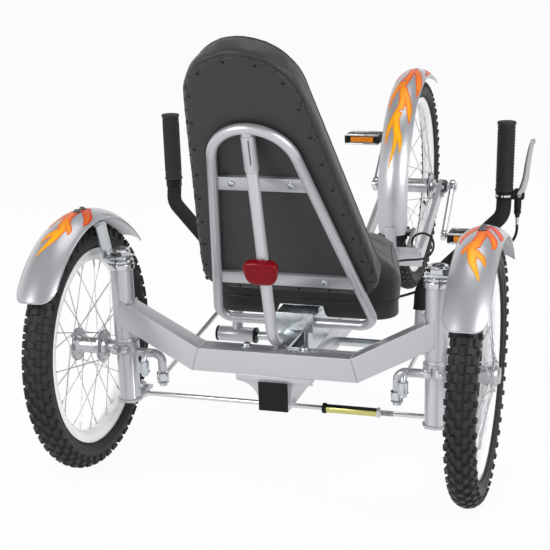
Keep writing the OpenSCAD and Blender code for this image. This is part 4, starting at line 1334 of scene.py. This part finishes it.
def make_brake_lever():
    foot = grip_place(1)

    def spot(x, y, z):
        return foot + Vector((x, y, z)) * MM

    ring = turned("ring", spot(0, 0, 1), hoop_profile(11.3, 15, 0, 12.5, radial=1), PLASTIC, UP, closed=True)
    perch = block("perch", spot(11, -8, 0.5), spot(35, 8, 14.5), 3, PLASTIC)
    hood = block("hood", spot(17, -6.5, 12), spot(33, 6.5, 19), 2.5, PLASTIC)
    section = [(0, 14.6), (0, 15.5), (3.4, 15.5), (3.4, 14.6)]
    strip = turned("strip", spot(0, 0, 5.4), section, CHROME, UP, closed=True)
    section = [(0, 0), (0, 5.5), (-6, 6.4), (-22, 6.4), (-23, 5.4), (-24, 6.2), (-30, 6.2), (-32, 4.6),
               (-37, 3.8), (-37, 0)]
    barrel = turned("barrel", spot(24, 0, 6), section, PLASTIC, UP, sides=32)
    section = [(0, 2), (0, 3), (-17.5, 3), (-19.5, 2.6), (-19.5, 0)]
    noodle = turned("noodle", spot(24, 0, -24), section, CHROME, UP, sides=24)
    perch = joined("brake_lever_perch", ring, perch, hood, strip, barrel, noodle)
    fit(perch, "right_lever", "black_plastic")
    route = smooth_route([spot(x, 0, z) for x, z in ((26, 9), (31, 20), (35.5, 38), (37.5, 58), (40, 78),
                                                     (42.5, 92), (45, 100))], 6)
    blade = tube("blade", route, lambda t: 9.4 - 4.2 * t, ALLOY, sides=20, flat=0.72, facing=(1, 0, 0))
    section = [(0, 0), (0.6, 3.4), (2.6, 4.6), (9.4, 4.6), (11.4, 3.4), (12, 0)]
    knob = turned("knob", spot(45.2, -6, 100), section, ALLOY, (0, 1, 0), sides=32)
    section = [(0, 0), (0, 3), (1, 3.6), (18, 3.6), (19, 3), (19, 0)]
    pin = turned("pin", spot(27, -9.5, 8), section, CHROME, (0, 1, 0), sides=24)
    fit(joined("brake_lever_blade", blade, knob, pin), "right_lever", "chrome_plate", "brake_lever")


# ---- brake cable, from the lever to the caliper ----

CABLE_ROUTE = (
    (330, 368.5, 349.5), (330, 369, 338), (327, 370, 326), (320, 373, 314), (310, 377, 302),
    (297, 381, 291), (282, 386, 280), (266, 391, 269), (249, 397, 258), (231, 402, 247),
    (213, 408, 236), (194, 414, 225), (174, 420, 214), (154, 427, 204),
    (134, 434, 194), (114, 442, 185), (95, 451, 177), (77, 461, 170), (61, 473, 165),
    (48, 487, 161), (39, 502, 158), (34, 518, 156), (32, 535, 155), (32, 560, 155),
    (32, 590, 155), (32, 620, 155), (32, 650, 155), (32, 680, 155), (32, 710, 155),
    (32, 740, 155), (32, 770, 155), (32, 795, 155), (34, 811, 154), (39, 825, 152),
    (47, 839, 150), (57, 851, 148), (68, 861, 147), (79, 868, 148), (89, 875, 153),
    (95, 882, 161), (97, 889, 172), (94, 894, 184), (87, 896, 193), (77, 896, 198),
    (66, 896, 198), (56, 896, 194), (49, 897, 186), (46, 898, 175), (46, 902, 161.5))
CABLE_SPLIT = 13


def make_cable():
    route = [at(*point) for point in CABLE_ROUTE]
    steps = 3
    fine, middle = smooth_route(route, steps), steps * CABLE_SPLIT
    for node, part, first, second, start, end in (
            ("lever_cable", fine[:middle + 1], "right_lever", "frame", route[2],
             route[CABLE_SPLIT - 1]),
            ("brake_cable", fine[middle:], "frame", "front_end", route[CABLE_SPLIT + 1],
             route[25])):
        housing = tube(node + "_housing", part, 2.5, PLASTIC, sides=12)
        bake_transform(housing)
        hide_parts(node)
    heading = (route[-1] - route[-2]).normalized()
    section = [(-9, 2.6), (-8.5, 3.4), (-1, 3.4), (0, 3), (0, 0)]
    fit(turned("cable_ferrule", route[-1], section, CHROME, heading, sides=24), "front_end", "chrome_plate")
    clips = []
    for y in (637.5, 642.5, 777.5, 782.5):
        hoop = [at(32 + 3.1 * cos(a), y, 155 + 3.1 * sin(a)) for a in full_turn(16)]
        clips.append(tube("clip", hoop, 0.8, PLASTIC, sides=6, closed=True, facing=(0, 1, 0)))
    fit(joined("cable_clips", *clips), "front_end", "black_plastic")


# ---- front end ----

def make_front_end():
    softened("front_boom", SILVER, "silver_paint", 1.2)
    softened("front_fork", SILVER, "silver_paint", 1.6, 3)
    softened("front_brake", ALLOY, "chrome_plate", 1.4)
    softened("crank_spindle", STEEL, "chrome_plate", 1.0)
    fork_foot = at(0, 877, 146)
    aim = Vector((0, front_hub.y - fork_foot.y, front_hub.z - fork_foot.z)).normalized()
    square = aim.cross(Vector((1, 0, 0)))
    for side, name in ((-1, "left"), (1, "right")):
        softened(name + "_crank", CHROME, "chrome_plate", 3.0, 3)
        outside = front_hub + Vector((side * 101 * MM, 0, 0))
        bolts_on(name + "_crank_bolt", "cranks", [outside], (side, 0, 0), 9, 4.5, 0.5, CHROME, sides=24)
        section = [(0, 8.4), (0, 15), (1, 16), (7, 16), (9, 13), (11, 12.4), (11, 8.4)]
        face = front_hub + Vector((side * 72.2 * MM, 0, 0))
        cup = turned(name + "_bearing_cup", face, [(side * x, r) for x, r in section], DARK_STEEL, closed=True)
        fit(cup, "front_end", "chrome_plate")
        # dropout clamp: bolts through a plate over the blade's end
        heads = [face + (aim * along + square * off) * MM for along, off in ((-22, -11), (-22, 11), (13, 9))]
        bolts_on(name + "_dropout_bolts", "front_end", heads, (side, 0, 0), 5.2, 5, 0.35)
        make_pedal(name, side)
        weld(name + "_fork_weld", "front_end", [at(side * 62, 885.6, z) for z in (128, 140, 152, 164)], 1.9)
    make_brake_pads()


def make_brake_pads():
    pivot = at(0, 885, 146)
    fore, rise = front_hub.y - pivot.y, front_hub.z - pivot.z
    reach = (fore ** 2 + rise ** 2) ** 0.5 / MM - 209
    place = Matrix.Translation(pivot) @ Matrix.Rotation(atan2(rise, fore), 4, "X")
    parts = []
    for side in (-1, 1):
        low, high = (side * 15.2, reach - 16, -5), (side * 23, reach + 26, 5)
        parts.append(block("pad", Vector(low) * MM, Vector(high) * MM, 2, RUBBER, place))
    # the left one was drawn mirrored, so its faces look inwards until they are turned
    parts[0].data.flip_normals()
    section = [(0, 0), (0, 7), (4, 8), (18, 8), (20, 6), (20, 0)]
    parts.append(turned("bolt", at(0, 882, 147), section, ZINC, (0, 1, 0), sides=24))
    spring = [place @ (Vector((x, y, z)) * MM) for x, y, z in ((-35, 20, 9), (-26, 14, 11), (0, 9, 14),
                                                               (26, 14, 11), (35, 20, 9))]
    parts.append(tube("spring", smooth_route(spring, 6), 1.1, STEEL, sides=8))
    fit(joined("front_brake_pads", *parts), "front_end", "black_rubber")


def make_pedal(name, side):
    pin = Vector(joints[name + "_pedal_spin"]["pos_m"])

    def corner(x, y, z):
        return Vector((side * (107 + x) * MM, pin.y + y * MM, pin.z + z * MM))

    section = [(0, 5.2), (0, 10), (1, 11), (84, 11), (88, 8), (90, 6), (90, 0)]
    parts = [turned("core", corner(0, 0, 0), [(side * x, r) for x, r in section], PLASTIC, sides=32)]
    bits = [((x, -30, -11), (x + 10, 30, 11), 2.5, PLASTIC) for x in (0, 80)]
    for front in (-1, 1):
        y = front * 22
        bits.append(((6, y - 4, -9), (84, y + 4, 9), 2, PLASTIC))
        y = front * 28
        bits.append(((16, y - 3.6, -6.5), (74, y + 3.4, 6.5), 1.2, AMBER_LENS))
        y = front * 28.5
        for bar, tooth in ((-11, -12), (11, 12)):
            bits.append(((2, y - 3, bar - 2), (88, y + 3, bar + 2), 0.8, CHROME))
            bits += [((10 + 9.5 * i, y - 2, tooth - 1), (14 + 9.5 * i, y + 2, tooth + 1.5), 0.6, CHROME)
                     for i in range(8)]
    for low, high, bevel, material in bits:
        a, b = corner(*low), corner(*high)
        ends = [Vector([pick(a[i], b[i]) for i in range(3)]) for pick in (min, max)]
        parts.append(block("bit", *ends, bevel, material))
    fit(joined(name + "_pedal_cage", *parts), name + "_pedal", "black_plastic", name + "_pedal")


place_camera()
light_studio()
lay_floor()
make_cable()
make_wheels()
make_fenders()
make_frame()
make_seat_frame()
make_seat_back()
make_cushion()
make_reflector()
make_knuckles()
make_levers()
make_front_end()
